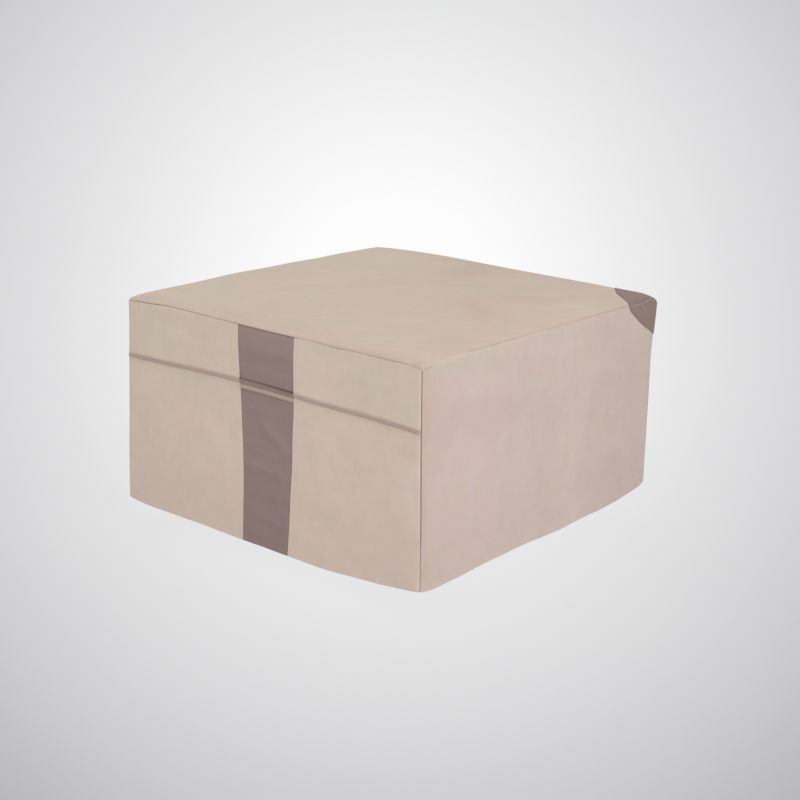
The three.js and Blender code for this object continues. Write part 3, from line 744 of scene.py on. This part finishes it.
# a plain wall's two sides: depth, and place along the wall
WALL_SIDES = [(0, 0), (640, 0)], [(0, WIDTH), (640, WIDTH)]
HEM_RADIUS = 1.1
HEM_STOPS = 9
HEM_INSIDE = [24.0, 16.8, 9.6, 3.6]  # how far up the turned-up cloth its rows of points lie
HEM_STITCH = 20.0
HEM_PINCH = [(-0.2, HEM_STITCH, 1.5)]
WALL_STEP = 9.0
CORNER_SWELL = 0.15
CORNER_HOLD = 40.0
# painted shade that darkens the cloth low down, where that starts and its growth
LOW_SHADE = 0.055
LOW_SHADE_FROM, LOW_SHADE_GROWTH = 330.0, 280.0
# painted shade beside a corner's seam, how much of it gives way low down, the depth from which
# it does, and over how much
CORNER_SHADE = [(0.546, 0, 2.4), (0.085, 0, 9), (0.03, 0, 24)]
CORNER_GIVES = 0.6
GIVES_FROM, GIVES_OVER = 420.0, 130.0
# a band of painted light below the top's seam, and how far along the wall it comes in
SEAM_BANK = [(0.015, 10, 9)]
BANK_COMES_IN = 200.0
# the cloth's memory of how it was folded away: height, growth from the top, each side's own turn,
# and for each wave its share, its turns along and down, and how often the side's turn goes in
CRUMPLE = 0.16
CRUMPLE_GROWTH = 120.0
CRUMPLE_TURN = {"front": 0.0, "right": 1.9, "back": 3.1, "left": 4.6}
CRUMPLES = [(1, 0.031, 0.012, 1), (0.8, 0.053, -0.027, 2), (0.6, 0.017, 0.049, 3), (0.5, 0.091, 0.061, 5)]
WALL_LOOKS = {
    "right": {
        "creases": [
            (330, 155, 10, 260, 42, 2.2), (280, 238, 12, 260, 46, -2.2), (880, 440, 5, 110, 50, 1.8),
            (375, 512, 0, 30, 18, 0.8), (558, 520, 0, 30, 18, 0.8), (837, 190, 8, 90, 36, 1.4),
            (130, 420, 84, 90, 16, 0.9), (215, 440, 92, 80, 18, 0.9), (330, 430, 88, 90, 18, 1.0),
            (450, 450, 94, 90, 18, 1.0), (565, 460, 87, 80, 18, 0.9), (700, 420, 92, 100, 24, 1.0),
            (990, 300, 80, 120, 34, -1.2), (640, 90, 6, 140, 30, 0.9),
        ],
        "lights": [
            (0, 160, 90, 170, 60, -0.075), (0, 380, 90, 80, 34, -0.06), (0, 545, 90, 50, 34, -0.08),
            (20, 610, 0, 60, 24, 0.045), (336, 142, 10, 64, 36, -0.034), (290, 265, 13, 135, 28, -0.028),
            (287, 326, 0, 38, 34, -0.018), (655, 112, 14, 125, 62, 0.058), (660, 380, 84, 230, 62, 0.044),
            (700, 584, 0, 70, 48, 0.06), (475, 506, 80, 70, 46, 0.034), (300, 596, 0, 60, 40, 0.024),
            (812, 408, 70, 50, 36, -0.018), (984, 91, 0, 80, 66, 0.045), (330, 20, -6, 100, 30, 0.018),
            (1060, 480, 88, 90, 30, 0.04), (700, 0, 0, 150, 30, 0.055), (720, 250, 80, 60, 34, 0.025),
            (75, 215, 90, 60, 36, -0.04), (520, 596, 0, 110, 26, 0.035), (940, 40, 0, 80, 40, 0.025),
            (110, 95, 80, 140, 90, -0.022), (100, 480, 90, 110, 80, -0.01),
        ],
        "tone": [
            (535, 330, 0, 900, 900, 0.9), (150, 15, 5, 150, 30, -2.2), (560, 12, 5, 110, 40, -2.2),
            (212, 97, 0, 30, 24, -1.5), (522, 141, 3, 100, 20, -1.5), (921, 455, 0, 40, 30, -1.0),
            (1038, 267, 90, 60, 16, -1.2), (1030, 130, 90, 90, 40, -0.9), (40, 560, 0, 90, 60, -0.9),
        ],
        "blue": [
            (40, 200, 90, 220, 60, -0.018), (30, 560, 0, 90, 60, -0.018), (200, 330, 90, 230, 16, 0.035),
            (371, 116, 0, 50, 24, 0.03), (396, 343, 85, 70, 26, 0.03), (556, 310, 88, 130, 16, 0.028),
            (674, 264, 85, 60, 20, 0.025), (822, 2, 0, 90, 40, 0.04), (335, 497, 80, 60, 18, 0.025),
            (978, 484, 80, 60, 20, 0.03),
        ],
    },
    "back": {
        "creases": [
            (240, 200, 10, 160, 40, 1.6), (620, 330, -12, 180, 46, -1.8), (880, 460, 8, 120, 40, 1.5),
            (420, 460, 86, 100, 22, 1.1), (760, 150, 14, 120, 34, 1.2), (140, 430, 94, 110, 24, -1.0),
        ],
        "lights": [
            (300, 220, 20, 140, 70, 0.03), (560, 420, 80, 130, 60, -0.03), (840, 160, 0, 110, 60, 0.02),
        ],
        "tone": [(200, 150, 10, 160, 80, -0.8), (700, 420, 0, 180, 90, 0.6)],
        "blue": [(420, 300, 88, 160, 30, 0.03)],
    },
    "left": {
        "creases": [
            (260, 260, -10, 170, 42, 1.7), (700, 220, 12, 170, 44, -1.7), (520, 450, 4, 140, 42, 1.5),
            (900, 430, 88, 110, 24, 1.1), (140, 470, 92, 90, 20, 1.0), (420, 120, -6, 140, 32, 1.1),
        ],
        "lights": [
            (240, 430, -20, 140, 60, -0.03), (560, 180, 10, 150, 70, 0.03), (880, 400, 80, 120, 56, 0.02),
        ],
        "tone": [(300, 200, 0, 160, 80, 0.6), (820, 380, 20, 150, 70, -0.8)],
        "blue": [(640, 330, 86, 150, 30, 0.03)],
    },
}


def rolled_edge(radius, inside):
    """A folded edge, from the turned-in cloth, round a half circle and onto the face: distances
    from the fold's line, and how far in from the face."""
    angle = np.linspace(0, np.pi, HEM_STOPS)
    away = np.concatenate([inside, radius * (1 - np.sin(angle)), FACE_STOPS])
    behind = np.full(len(inside), 2 * radius)
    return away, np.concatenate([behind, radius * (1 + np.cos(angle)), np.zeros(len(FACE_STOPS))])


def laid_out(near_edge, far_edge, start, end, step):
    """Places across a piece: the near edge's distances from its start, even steps over the middle,
    and the far edge's distances back from its end. With them comes each place's drop."""
    near_away, near_drop = near_edge
    far_away, far_drop = far_edge
    first = np.asarray(start, float)[..., None] + near_away
    last = np.asarray(end, float)[..., None] - far_away[::-1]
    count = max(2, round(float(np.min(last[..., 0] - first[..., -1])) / step))
    share = np.linspace(0, 1, count + 1)[1:-1]
    middle = first[..., -1:] + share * (last[..., :1] - first[..., -1:])
    drops = np.concatenate([near_drop, np.zeros(len(share)), far_drop[::-1]])
    return np.concatenate([first, middle, last], axis=-1), drops


def crumple(side, along, depth):
    """A wall's long low waves, under half a millimetre: a sum of sines that grows downwards."""
    turn = CRUMPLE_TURN[side]
    waves = sum(share * np.sin(along * a + depth * d + times * turn) for share, a, d, times in CRUMPLES)
    return CRUMPLE * waves * ease(depth / CRUMPLE_GROWTH)


def hem_shade(depth):
    """Painted shade low down: an eased growth to the hem."""
    return LOW_SHADE * ease((depth - LOW_SHADE_FROM) / LOW_SHADE_GROWTH)


def corner_shade(part, rows, gives):
    """Painted shade beside a corner: bells, of which a share gives way low down."""
    return near(part.corner_away, rows) * (1 - gives * ease((part.depth - GIVES_FROM) / GIVES_OVER))


def wall_place(sides, stop, depth):
    """Where a column of a wall lies at a depth: it keeps its share of the way between the two sides
    of its part, each a table of depth and place along the wall."""
    start, end = (side[0][1] for side in sides)
    first, last = (curve_at(side, depth) for side in sides)
    return first + (stop - start) / (end - start) * (last - first)


def wall_part(sides, side_edges, lines, line_edges, step):
    """A part of a wall between two sides and two lines: its points' places and drops, and how far
    each is from its top, its bottom, its nearest side and the nearest corner, and whether it ends
    in a hem."""
    stop, side_drop = laid_out(*side_edges, sides[0][0][1], sides[1][0][1], step)
    top, bottom = (curve_at(line, stop) for line in lines)
    depth, row_drop = laid_out(*line_edges, top, bottom, step)
    along = wall_place(sides, stop[:, None], depth)
    return SimpleNamespace(
        along=along,
        depth=depth,
        side_drop=side_drop[:, None] + 0 * depth,
        row_drop=row_drop,
        below=depth - top[:, None],
        above=bottom[:, None] - depth,
        beside=np.minimum(stop - stop[0], stop[-1] - stop)[:, None] + 0 * depth,
        corner_away=np.minimum(along, WIDTH - along),
        hemmed=line_edges[1] is hem_edge,
    )


def hung_sheet(name, side, part, look, swell, shade, hold=1.0, bluer=0.0):
    """A part of a wall as a sheet: off the cover's shape by its swell, its creases times hold and
    the wall's waves, less its edges' drop, with its look's painted light and shade added to its shade.
    One that ends in a hem has its pinch and its stitches."""
    at = part.along, part.depth
    offset = swell + bells(look["creases"], *at) * hold + crumple(side, *at) - part.side_drop - part.row_drop
    shown = {"shade": shade + painted_lightness(look, *at), **hues(look, *at)}
    shown["blue"] += bluer
    if part.hemmed:
        offset += near(part.above, HEM_PINCH)
        shown.update(stitch_off=part.above - HEM_STITCH, stitch_run=part.along)
    return sheet_from(name, cover_point(side, *at, offset), np.stack([at[0], -at[1]], axis=-1), **shown)


seam_edge = turned_edge(SEAM_RADIUS, SEAM_TUCK)
hem_edge = rolled_edge(HEM_RADIUS, HEM_INSIDE)
beige = cloth_finish("beige_cloth", (198.6, 184.2, 166.9), (203.1, 182.9, 169.4), (190, 174, 160), cool=0.2)
pink_beige = cloth_finish(
    "pink_beige_cloth", (200.1, 185.4, 172.6), (203.7, 184, 174.4), (192, 174, 164), cool=0.2
)

for side, cloth, deep in [("right", pink_beige, 0.644), ("back", beige, 0.644), ("left", beige, 0.652)]:
    lines = TOP_SEAM[side], HEM[side]
    part = wall_part(WALL_SIDES, (seam_edge, seam_edge), lines, (seam_edge, hem_edge), WALL_STEP)
    shows = curve_at(SEAM_SHOWS[side], part.along)
    near_top = part.below < part.above
    part.row_drop = np.where(near_top, sewn_drop(part.row_drop, shows), part.row_drop)
    swell = seam_swell(part.below, part.along) + seam_swell(part.corner_away, part.depth, CORNER_SWELL)
    # painted shade along the top's seam, beside the corner and low down; painted light below the seam
    dark = painted_seam_shade(part.below, shows) + corner_shade(part, CORNER_SHADE, CORNER_GIVES) + hem_shade(part.depth)
    shade = 1 - dark + near(part.below, SEAM_BANK) * ease(part.along / BANK_COMES_IN)
    hold = ease(part.corner_away / CORNER_HOLD)
    wall = hung_sheet(f"{side}_wall", side, part, WALL_LOOKS[side], swell, shade, hold)
    cut = {"flat": (1.09, deep), "held": "hung", "rests_on": ["top_cloth"]}
    sew_in(wall, cloth, f"{side}_panel", "beige_cloth", **cut)


# The front wall's beige cloth: an upper yoke and a lower wall, cut through by the band and sewn
# together across the front under the tape.
YOKE_SEAM = [
    (0, 162.3), (72, 161.6), (130, 161.2), (217, 158.2), (292, 156.8), (354, 155.6), (400, 155.3),
    (440, 155), (540, 155.2), (640, 157.7), (702, 160.8), (790, 161.5), (870, 162.6), (950, 164.5),
    (1030, 165.8), (1070, 166.2),
]
FRONT_HEM = [
    (0, 599.5), (36, 605.5), (174, 611.5), (260, 613.5), (349, 617.5), (440, 619.5), (525, 620.5),
    (615, 622.5), (697, 624), (780, 624), (862, 620.5), (920, 618), (952, 616.5), (1027, 607.9), (1070, 602),
]
# the band's two edges: depth, and place along the wall
BAND_LEFT = [
    (0, 440), (60, 440), (125, 444), (157, 445.5), (200, 450), (275, 454), (360, 459), (445, 460.5),
    (530, 459), (640, 456.5),
]
BAND_RIGHT = [
    (0, 643), (60, 639.6), (125, 640), (157, 640.6), (200, 641.5), (275, 638), (360, 636), (445, 631),
    (530, 626.8), (640, 618.5),
]
FRONT_SIDES = {
    "left": (WALL_SIDES[0], BAND_LEFT),
    "band": (BAND_LEFT, BAND_RIGHT),
    "right": (BAND_RIGHT, WALL_SIDES[1]),
}
FLAT_SEAM_RADIUS = 0.7
FLAT_SEAM_TUCK = 3.0
FRONT_STEP = 8.0
TAPE_START = 3.1
TAPE_DEPTH = 10.6
# the painted shade and painted light lines beside the yoke's corner, the band and the yoke's foot
YOKE_SWELL = 0.3
YOKE_CORNER = [(-0.588, 0, 1.7), (-0.06, 0, 11), (0.01, 5, 2.5)]
BAND_SIDE = [(-0.084, 0, 1.7), (0.025, 3.5, 2)]
YOKE_FOOT = [(0.035, 0, 2.5)]
# the same for the lower wall, where the corner's painted seam shade is darker
LOWER_SWELL = 0.5
LOWER_SEAM = [(0.672, 0, 2.8)]
LOWER_GIVES = 0.55
LOWER_CORNER = [(-0.03, 0, 11), (0.03, 4.5, 2.5)]
# the shadow under the tape and its reach, the light that shows behind its edge, and how much of
# the shadow is taken from the blue
TAPE_DARK = 0.11
TAPE_SHADOW = 15.0
TAPE_BEHIND = 0.1
TAPE_WARM = 0.3
FRONT_LOOK = {
    "creases": [
        (1037, 315, -10, 45, 28, 1.3), (1025, 255, -10, 50, 24, -1.4), (874, 300, 0, 35, 18, 0.8),
        (1030, 462, -15, 45, 22, 1.2), (1030, 431, -33, 14, 4, 0.7), (1024, 490, -20, 12, 4, 0.6),
        (110, 250, 90, 70, 14, 0.8), (60, 400, 60, 90, 40, -1.0), (330, 330, 20, 80, 35, 0.9),
        (250, 480, -15, 100, 45, 1.1), (780, 450, 12, 90, 40, 1.0), (900, 540, -8, 70, 25, 0.8),
        (200, 90, 8, 90, 24, 0.7), (820, 80, -6, 100, 26, 0.7), (760, 250, 30, 60, 30, -0.7),
    ],
    "lights": [
        (1032, 362, 84, 66, 28, 0.085), (1020, 250, 0, 34, 28, -0.024), (1062, 576, 0, 30, 30, 0.04),
        (807, 431, 0, 48, 42, -0.02), (703, 555, 0, 75, 60, 0.025), (737, 190, 8, 100, 50, 0.032),
        (395, 380, 38, 130, 42, 0.045), (117, 241, 0, 75, 66, 0.03), (238, 422, 0, 42, 40, -0.018),
        (157, 103, 10, 66, 50, 0.025), (98, 27, 0, 50, 36, -0.03), (690, 80, 80, 90, 50, 0.03),
        (1060, 250, 90, 70, 12, 0.03), (350, 240, 0, 70, 40, 0.018), (395, 150, 90, 230, 36, 0.014),
    ],
    "tone": [
        (74, 74, 0, 90, 60, -1.1), (155, 103, 0, 60, 40, -0.7), (910, 98, 80, 50, 36, -1.1),
        (1039, 120, 80, 50, 26, -1.1), (50, 290, 85, 110, 30, -1.1), (254, 200, 0, 50, 26, -0.8),
        (313, 523, 0, 80, 40, -0.6), (215, 457, 0, 60, 36, -0.5), (880, 400, 90, 250, 230, 0.8),
        (300, 400, 90, 200, 180, 0.3),
    ],
    "blue": [
        (1035, 330, 88, 120, 30, 0.035), (770, 343, 0, 50, 45, 0.025), (770, 537, 0, 55, 45, 0.025),
        (972, 566, 0, 45, 40, 0.025), (50, 556, 0, 70, 50, 0.035), (253, 552, 0, 60, 36, 0.018),
    ],
}


def front_part(place, lines, line_edges):
    """A part of the front wall between two lines. Only its side at a corner has the corner's seam."""
    side_edges = [seam_edge if place == corner else flat_edge for corner in ("left", "right")]
    return wall_part(FRONT_SIDES[place], side_edges, lines, line_edges, FRONT_STEP)


def band_side(part):
    """The painted shade and painted light lines beside the band: bells by the distance from its nearer edge.
    """
    away = [np.abs(part.along - curve_at(edge, part.depth)) for edge in (BAND_LEFT, BAND_RIGHT)]
    return near(np.minimum(*away), BAND_SIDE)


flat_edge = turned_edge(FLAT_SEAM_RADIUS, FLAT_SEAM_TUCK)
upper_lines, lower_lines = (TOP_SEAM["front"], YOKE_SEAM), (YOKE_SEAM, FRONT_HEM)
for place, wide in [("left", 0.46), ("right", 0.445)]:
    yoke = front_part(place, upper_lines, (seam_edge, flat_edge))
    swell = seam_swell(yoke.below, yoke.along) + seam_swell(yoke.corner_away, yoke.depth, YOKE_SWELL)
    # painted shade along the top's seam and beside the corner, painted light and shade beside the band,
    # painted light at the foot
    shade = 1 - painted_seam_shade(yoke.below, curve_at(SEAM_SHOWS["front"], yoke.along)) + band_side(yoke)
    shade += near(yoke.corner_away, YOKE_CORNER) + near(yoke.above, YOKE_FOOT)
    made = hung_sheet(f"yoke_{place}", "front", yoke, FRONT_LOOK, swell, shade)
    cut = {"flat": (wide, 0.175), "held": "hung", "rests_on": ["top_cloth"]}
    sew_in(made, beige, f"front_yoke_{place}", "beige_cloth", **cut)

    lower = front_part(place, lower_lines, (flat_edge, hem_edge))
    # painted shadow under the tape and painted light behind its edge; painted shade beside the corner and
    # low down
    under_tape = TAPE_DARK * bell(np.maximum(lower.below - TAPE_DEPTH, 0), TAPE_SHADOW)
    under_tape -= TAPE_BEHIND * np.exp(-((lower.below / TAPE_START) ** 4))
    shade = 1 - under_tape - corner_shade(lower, LOWER_SEAM, LOWER_GIVES) - hem_shade(lower.depth)
    shade += near(lower.corner_away, LOWER_CORNER) + band_side(lower)
    swell = seam_swell(lower.corner_away, lower.depth, LOWER_SWELL)
    bluer = -TAPE_WARM * np.maximum(under_tape, 0)
    made = hung_sheet(f"lower_{place}", "front", lower, FRONT_LOOK, swell, shade, bluer=bluer)
    cut = {"flat": (wide, 0.495), "held": "hung", "rests_on": [f"yoke_{place}"]}
    sew_in(made, beige, f"front_lower_{place}", "beige_cloth", **cut)


# The dark band: taupe cloth of the same kind, set into the yoke and into the lower wall. Its upper
# part ends in a fold that stands proud over a narrow lip of the same cloth.
FOLD_RADIUS = 1.1
FOLD_INSIDE = [6.0, 3.0]
CREASE_PROUD = 2.4
CREASE_DEPTH = 14.0
PROUD_WITHIN = 20.0
BAND_HOLD = 12.0
BAND_SWELL = 0.2
# the band top's painted shade, a little lighter than its bottom's
BAND_LIGHT = 1.025
# the painted shade and painted light lines along the band's sides, below the top's seam, above
# the crease, and a little below the tape, and how much more painted shade low down the dark cloth takes
BAND_OUTLINE = [(-0.10, 0, 2.4)]
BAND_HEAD = [(-0.546, 0, 2.2), (0.085, 8, 11), (0.03, 0, 50)]
BAND_FOOT = [(-0.13, 0, 18)]
BELOW_TAPE = [(-0.14, 31, 3)]
BAND_LOW_SHADE = 1.7
# how dark the painted shade along the crease's own edge is near the band's left edge, what the
# band's width adds to that, and its half width
CREASE_DARK, CREASE_ADDS, CREASE_LINE = 0.09, 0.12, 2.4
# where the band's width is counted from, and how wide it is there
BAND_FROM, BAND_WIDE = 450.0, 190.0
BAND_LOOK = {
    "creases": [
        (545, 68, 0, 170, 22, 2.6), (500, 92, 4, 60, 6, 0.5), (590, 104, -3, 60, 6, 0.5),
        (540, 121, 2, 70, 6, 0.45), (470, 40, 6, 50, 7, 0.4), (600, 44, -4, 50, 7, 0.4),
        (570, 298, 34, 62, 15, 2.2), (480, 332, -3, 35, 9, 1.2), (530, 398, 4, 75, 15, 2.4),
        (540, 492, 0, 75, 20, -1.4), (560, 540, 6, 50, 10, 0.9), (500, 585, -8, 40, 9, 0.6),
        (490, 235, 10, 40, 10, 0.9), (600, 420, 70, 60, 10, 1.0), (590, 210, 0, 50, 8, -0.8),
        (505, 262, 75, 40, 12, -0.9), (480, 300, 0, 30, 6, 0.6), (500, 350, 5, 40, 6, 0.6),
        (590, 350, -30, 50, 12, 0.8), (600, 500, 60, 50, 14, 0.8),
    ],
}


def across_band(along):
    """How far across the band a place is: 0 near its left edge, 1 at its right edge."""
    return (along - BAND_FROM) / BAND_WIDE


taupe = cloth_finish("taupe_cloth", (140.7, 120.9, 115.5), (140.6, 120.5, 116.7), (120, 101, 97))

upper = front_part("band", upper_lines, (seam_edge, rolled_edge(FOLD_RADIUS, FOLD_INSIDE)))
proud = CREASE_PROUD * ease(upper.beside / PROUD_WITHIN) * ease(1 - upper.above / CREASE_DEPTH)
swell = proud + seam_swell(upper.below, upper.along, BAND_SWELL)
# painted shade along the crease, and painted shade and light along the band's sides, head and foot
crease_shade = (CREASE_DARK + CREASE_ADDS * across_band(upper.along)) * bell(upper.above, CREASE_LINE)
shade = BAND_LIGHT + near(upper.beside, BAND_OUTLINE) + near(upper.below, BAND_HEAD)
shade += near(upper.above, BAND_FOOT) - crease_shade
made = hung_sheet("band_top", "front", upper, BAND_LOOK, swell, shade, ease(upper.beside / BAND_HOLD))
sew_in(made, taupe, "band_upper", "dark_cloth", flat=(0.215, 0.175), held="hung", rests_on=["top_cloth"])

band = front_part("band", lower_lines, (flat_edge, hem_edge))
# painted shade along the band's sides, below the tape and low down
shade = 1 + near(band.beside, BAND_OUTLINE) + near(band.below, BELOW_TAPE) - BAND_LOW_SHADE * hem_shade(band.depth)
made = hung_sheet("band_bottom", "front", band, BAND_LOOK, 0.0, shade, ease(band.beside / BAND_HOLD))
sew_in(made, taupe, "band_lower", "dark_cloth", flat=(0.215, 0.495), held="hung", rests_on=["band_top"])


# The strips that lie on the front wall: the dark fold's lip on the band, and a woven tape, mid
# taupe, sewn across the wall along both its edges and stepped down where it crosses the band.
TAPE = 1.2
GAP = 0.3
BOW = 0.25
LIP_DEPTH = 16.3
BAND_TAPE_DEPTH = 12.0
TAPE_END = 7.0
TAPE_YARN = 1.1
TAPE_STITCH = 2.0
STRIP_EDGE = (np.array([0.0, 0.2, 0.6, 1.2, 2.2, 3.6]), np.array([0.7, 0.25, 0.05, 0.0, 0.0, 0.0]))
STRIP_STEP = 2.2
STRIP_COLUMN = 4.0
# the lip's brightness and blue, and its shadow from the fold: how dark and how deep it is near the
# band's left edge, and what the band's width adds to each
LIP_LIGHT, LIP_BLUE = 0.96, -0.05
LIP_DARK, LIP_DARK_ADDS = 0.50, 0.16
LIP_REACH, LIP_REACH_ADDS = 3.0, 2.4


def strip_on_front(place, start, end, short=0.0):
    """A flat strip on a part of the front wall, from one depth under the yoke seam to another. It
    bows out by half a sine, and may stop short of the part's right end."""
    first, last = (side[0][1] for side in FRONT_SIDES[place])
    stop, side_drop = laid_out(STRIP_EDGE, STRIP_EDGE, first + GAP / 2, last - short - GAP / 2, STRIP_COLUMN)
    line = curve_at(YOKE_SEAM, stop)[:, None]
    depth, row_drop = laid_out(STRIP_EDGE, STRIP_EDGE, line[:, 0] + start, line[:, 0] + end, STRIP_STEP)
    along = wall_place(FRONT_SIDES[place], stop[:, None], depth)
    below = depth - line - start
    relief = GAP + crumple("front", along, depth)
    out = TAPE + BOW * np.sin(np.pi * below / (end - start)) - side_drop[:, None] - row_drop
    return SimpleNamespace(
        along=along,
        below=below,
        off=np.minimum(below, end - start - below) - TAPE_STITCH,
        sheet=(cover_point("front", along, depth, relief + out), np.stack([along, -depth], axis=-1)),
        back=cover_point("front", along, depth, relief),
    )


lip = strip_on_front("band", GAP / 2, LIP_DEPTH)
across = across_band(lip.along)
shade = LIP_DARK + LIP_DARK_ADDS * across
shade = LIP_LIGHT - shade * bell(lip.below, LIP_REACH + LIP_REACH_ADDS * across)
made = sheet_from("band_fold", *lip.sheet, back=lip.back, shade=shade, blue=LIP_BLUE)
sew_in(made, taupe, "band_lip", "dark_cloth", flat=(0.2, 0.018), held="hung", rests_on=["band_top"])

tape_cloth = cloth_finish("taupe_tape", (171, 153, 142), (170, 150, 142), (154, 135, 126), TAPE_YARN, True)
BAND_TAPE_START = LIP_DEPTH + GAP
for place, start, deep, short, length, under in [
    ("left", TAPE_START, TAPE_DEPTH, 0.0, 0.45, "lower_left"),
    ("band", BAND_TAPE_START, BAND_TAPE_DEPTH, 0.0, 0.2, "band_bottom"),
    ("right", TAPE_START, TAPE_DEPTH, TAPE_END, 0.42, "lower_right"),
]:
    tape = strip_on_front(place, start, start + deep, short)
    stitches = {"stitch_off": tape.off, "stitch_run": tape.along}
    made = sheet_from(f"tape_{place}", *tape.sheet, back=tape.back, shade=1.0, **stitches)
    sew_in(made, tape_cloth, f"strip_{place}", "tape", flat=(length, 0.013), held="laid", rests_on=[under])


# The corner patch: one piece of the dark cloth sewn over the far right corner, over a triangle of
# the top and of both walls. The seams under it show through as soft ridges, with painted light and
# shade lines beside them.
PATCH = 1.0
PATCH_OFF = 0.5
# its outline: the way round the corner in degrees, 90 to a face from the top's back edge, and how
# far it reaches from the corner
PATCH_OUTLINE = [
    (0, 148), (10, 138), (20, 127.5), (31, 122.5), (50, 119), (63, 124), (74, 132), (84, 147), (89, 154),
    (94, 156), (100, 148.5), (106, 137), (112, 127), (122, 116.5), (134, 108), (150, 103.5), (165, 103),
    (180, 109.5), (195, 103), (210, 103.5), (226, 108), (238, 117), (249, 128), (260, 143), (270, 148),
]
PATCH_RAYS = 64
PATCH_RINGS = 88
PATCH_MIDDLE = 0.004
PATCH_EDGE = np.array([0.0, 0.25, 0.7, 1.4, 2.4, 3.8, 5.5])
PATCH_DROP = [0.9, 0.35, 0.06, 0.0]
PATCH_STITCH = 3.5
RIDGE_HOLD = 6.0
# the seams under the patch, which show through it: two ends in millimetres, half width, height
UNDER_PATCH = [
    ((535, 372, -7), (535, 446, -10), 3.4, 1.3),
    ((535, 446, -10), (535, 472, -32), 3.4, 1.1),
    ((535, 446, -10), (534, 502, 2), 3.4, 1.1),
    ((534, 502, 2), (500, 535, 0), 4.0, 0.7),
    ((500, 535, -6), (400, 535, -6), 3.6, 0.9),
]
# each ridge's painted light line, its painted shade line and how far above the ridge that lies
RIDGE_LIGHT, RIDGE_DARK, DARK_ABOVE = (0.32, 2.6), (0.28, 2.4), 4.0
# the patch's painted brightness, the painted shade its top takes over this far from the back edge,
# and the painted shade round its outline
PATCH_LIGHT = 1.02
PATCH_TOP_DARK, PATCH_TOP_OVER = 0.10, 30.0
PATCH_BORDER = [(0.20, 0, 2.6)]
# how near the top's level its top is, how near its pinker part is, and how far in that starts
TOP_WITHIN, PINK_WITHIN, PINK_FROM = 1.0, 6.0, 4.0

# on each of the three faces the rays from the corner lie closer near the face's two edges
rays = 45 * (1 - np.cos(np.pi * np.arange(PATCH_RAYS) / PATCH_RAYS))
ray_turn = np.concatenate([rays, rays + 90, rays + 180])
reach = curve_at(PATCH_OUTLINE, ray_turn)
quarter = np.repeat([0, 1, 2], PATCH_RAYS)
angle = np.radians(ray_turn - 90 * quarter)
axes = -np.eye(3)
ray = axes[quarter] * np.cos(angle)[:, None] + axes[(quarter + 1) % 3] * np.sin(angle)[:, None]
inner = np.linspace(PATCH_MIDDLE, 1, PATCH_RINGS) * (reach[:, None] - PATCH_EDGE[-1])
distance = np.concatenate([inner, reach[:, None] - PATCH_EDGE[-2::-1]], axis=1)
box = np.array([HALF, HALF, TOP]) + ray[:, None, :] * distance[..., None]
edge_away = reach[:, None] - distance
from_x, from_y, from_z = HALF - box[..., 0], HALF - box[..., 1], TOP - box[..., 2]


def from_line(points, start, end):
    """The distance of points from a straight line between two ends."""
    start, end = np.array(start, float), np.array(end, float)
    run = end - start
    share = np.clip(((points - start) @ run) / (run @ run), 0, 1)
    return np.linalg.norm(points - start - share[..., None] * run, axis=-1)


ridges, ridge_highlight, ridge_shade = np.zeros((3, *box.shape[:2]))
for start, end, half, height in UNDER_PATCH:
    away = from_line(box, start, end)
    above = from_line(box - np.array([0, 0, DARK_ABOVE]), start, end)
    ridges = np.maximum(ridges, height * bell(away, half))
    ridge_highlight = np.maximum(ridge_highlight, RIDGE_LIGHT[0] * bell(away, RIDGE_LIGHT[1]))
    ridge_shade = np.maximum(ridge_shade, RIDGE_DARK[0] * bell(above, RIDGE_DARK[1]))
inside = ease(edge_away / RIDGE_HOLD)
relief = ridges * inside - np.interp(edge_away, PATCH_EDGE[:4], PATCH_DROP)
# painted light and shade on the patch: round its outline, beside the ridges and over its top
shade = PATCH_LIGHT - near(edge_away, PATCH_BORDER) + (ridge_highlight - ridge_shade) * inside
shade -= PATCH_TOP_DARK * ease(from_y * (from_z < TOP_WITHIN) / PATCH_TOP_OVER)
around = np.hypot(*np.diff(reach * np.stack([np.cos(angle), np.sin(angle)]), axis=1))
patch = sheet_from(
    "corner_cap",
    settled(rounded(box, PATCH_OFF + PATCH + relief)),
    np.stack([np.where(from_y > 0, -from_y, from_x), np.where(from_z > 0, -from_z, from_x)], axis=-1),
    back=settled(rounded(box, PATCH_OFF + 0 * relief)),
    wrap=True,
    shade=shade,
    tone=np.where((from_z < PINK_WITHIN) & (from_y > PINK_FROM), 1.0, -1.0),
    stitch_off=edge_away - PATCH_STITCH,
    stitch_run=np.append(0, np.cumsum(around))[:, None],
)
cap_taupe = cloth_finish("cap_taupe", (144, 123, 116), (147.5, 124.2, 113.5), (120, 101, 97))
cut = {"flat": (0.31, 0.27), "held": "laid", "rests_on": ["top_cloth", "right_wall", "back_wall"]}
sew_in(patch, cap_taupe, "corner_patch", "dark_cloth", **cut, area=0.034)
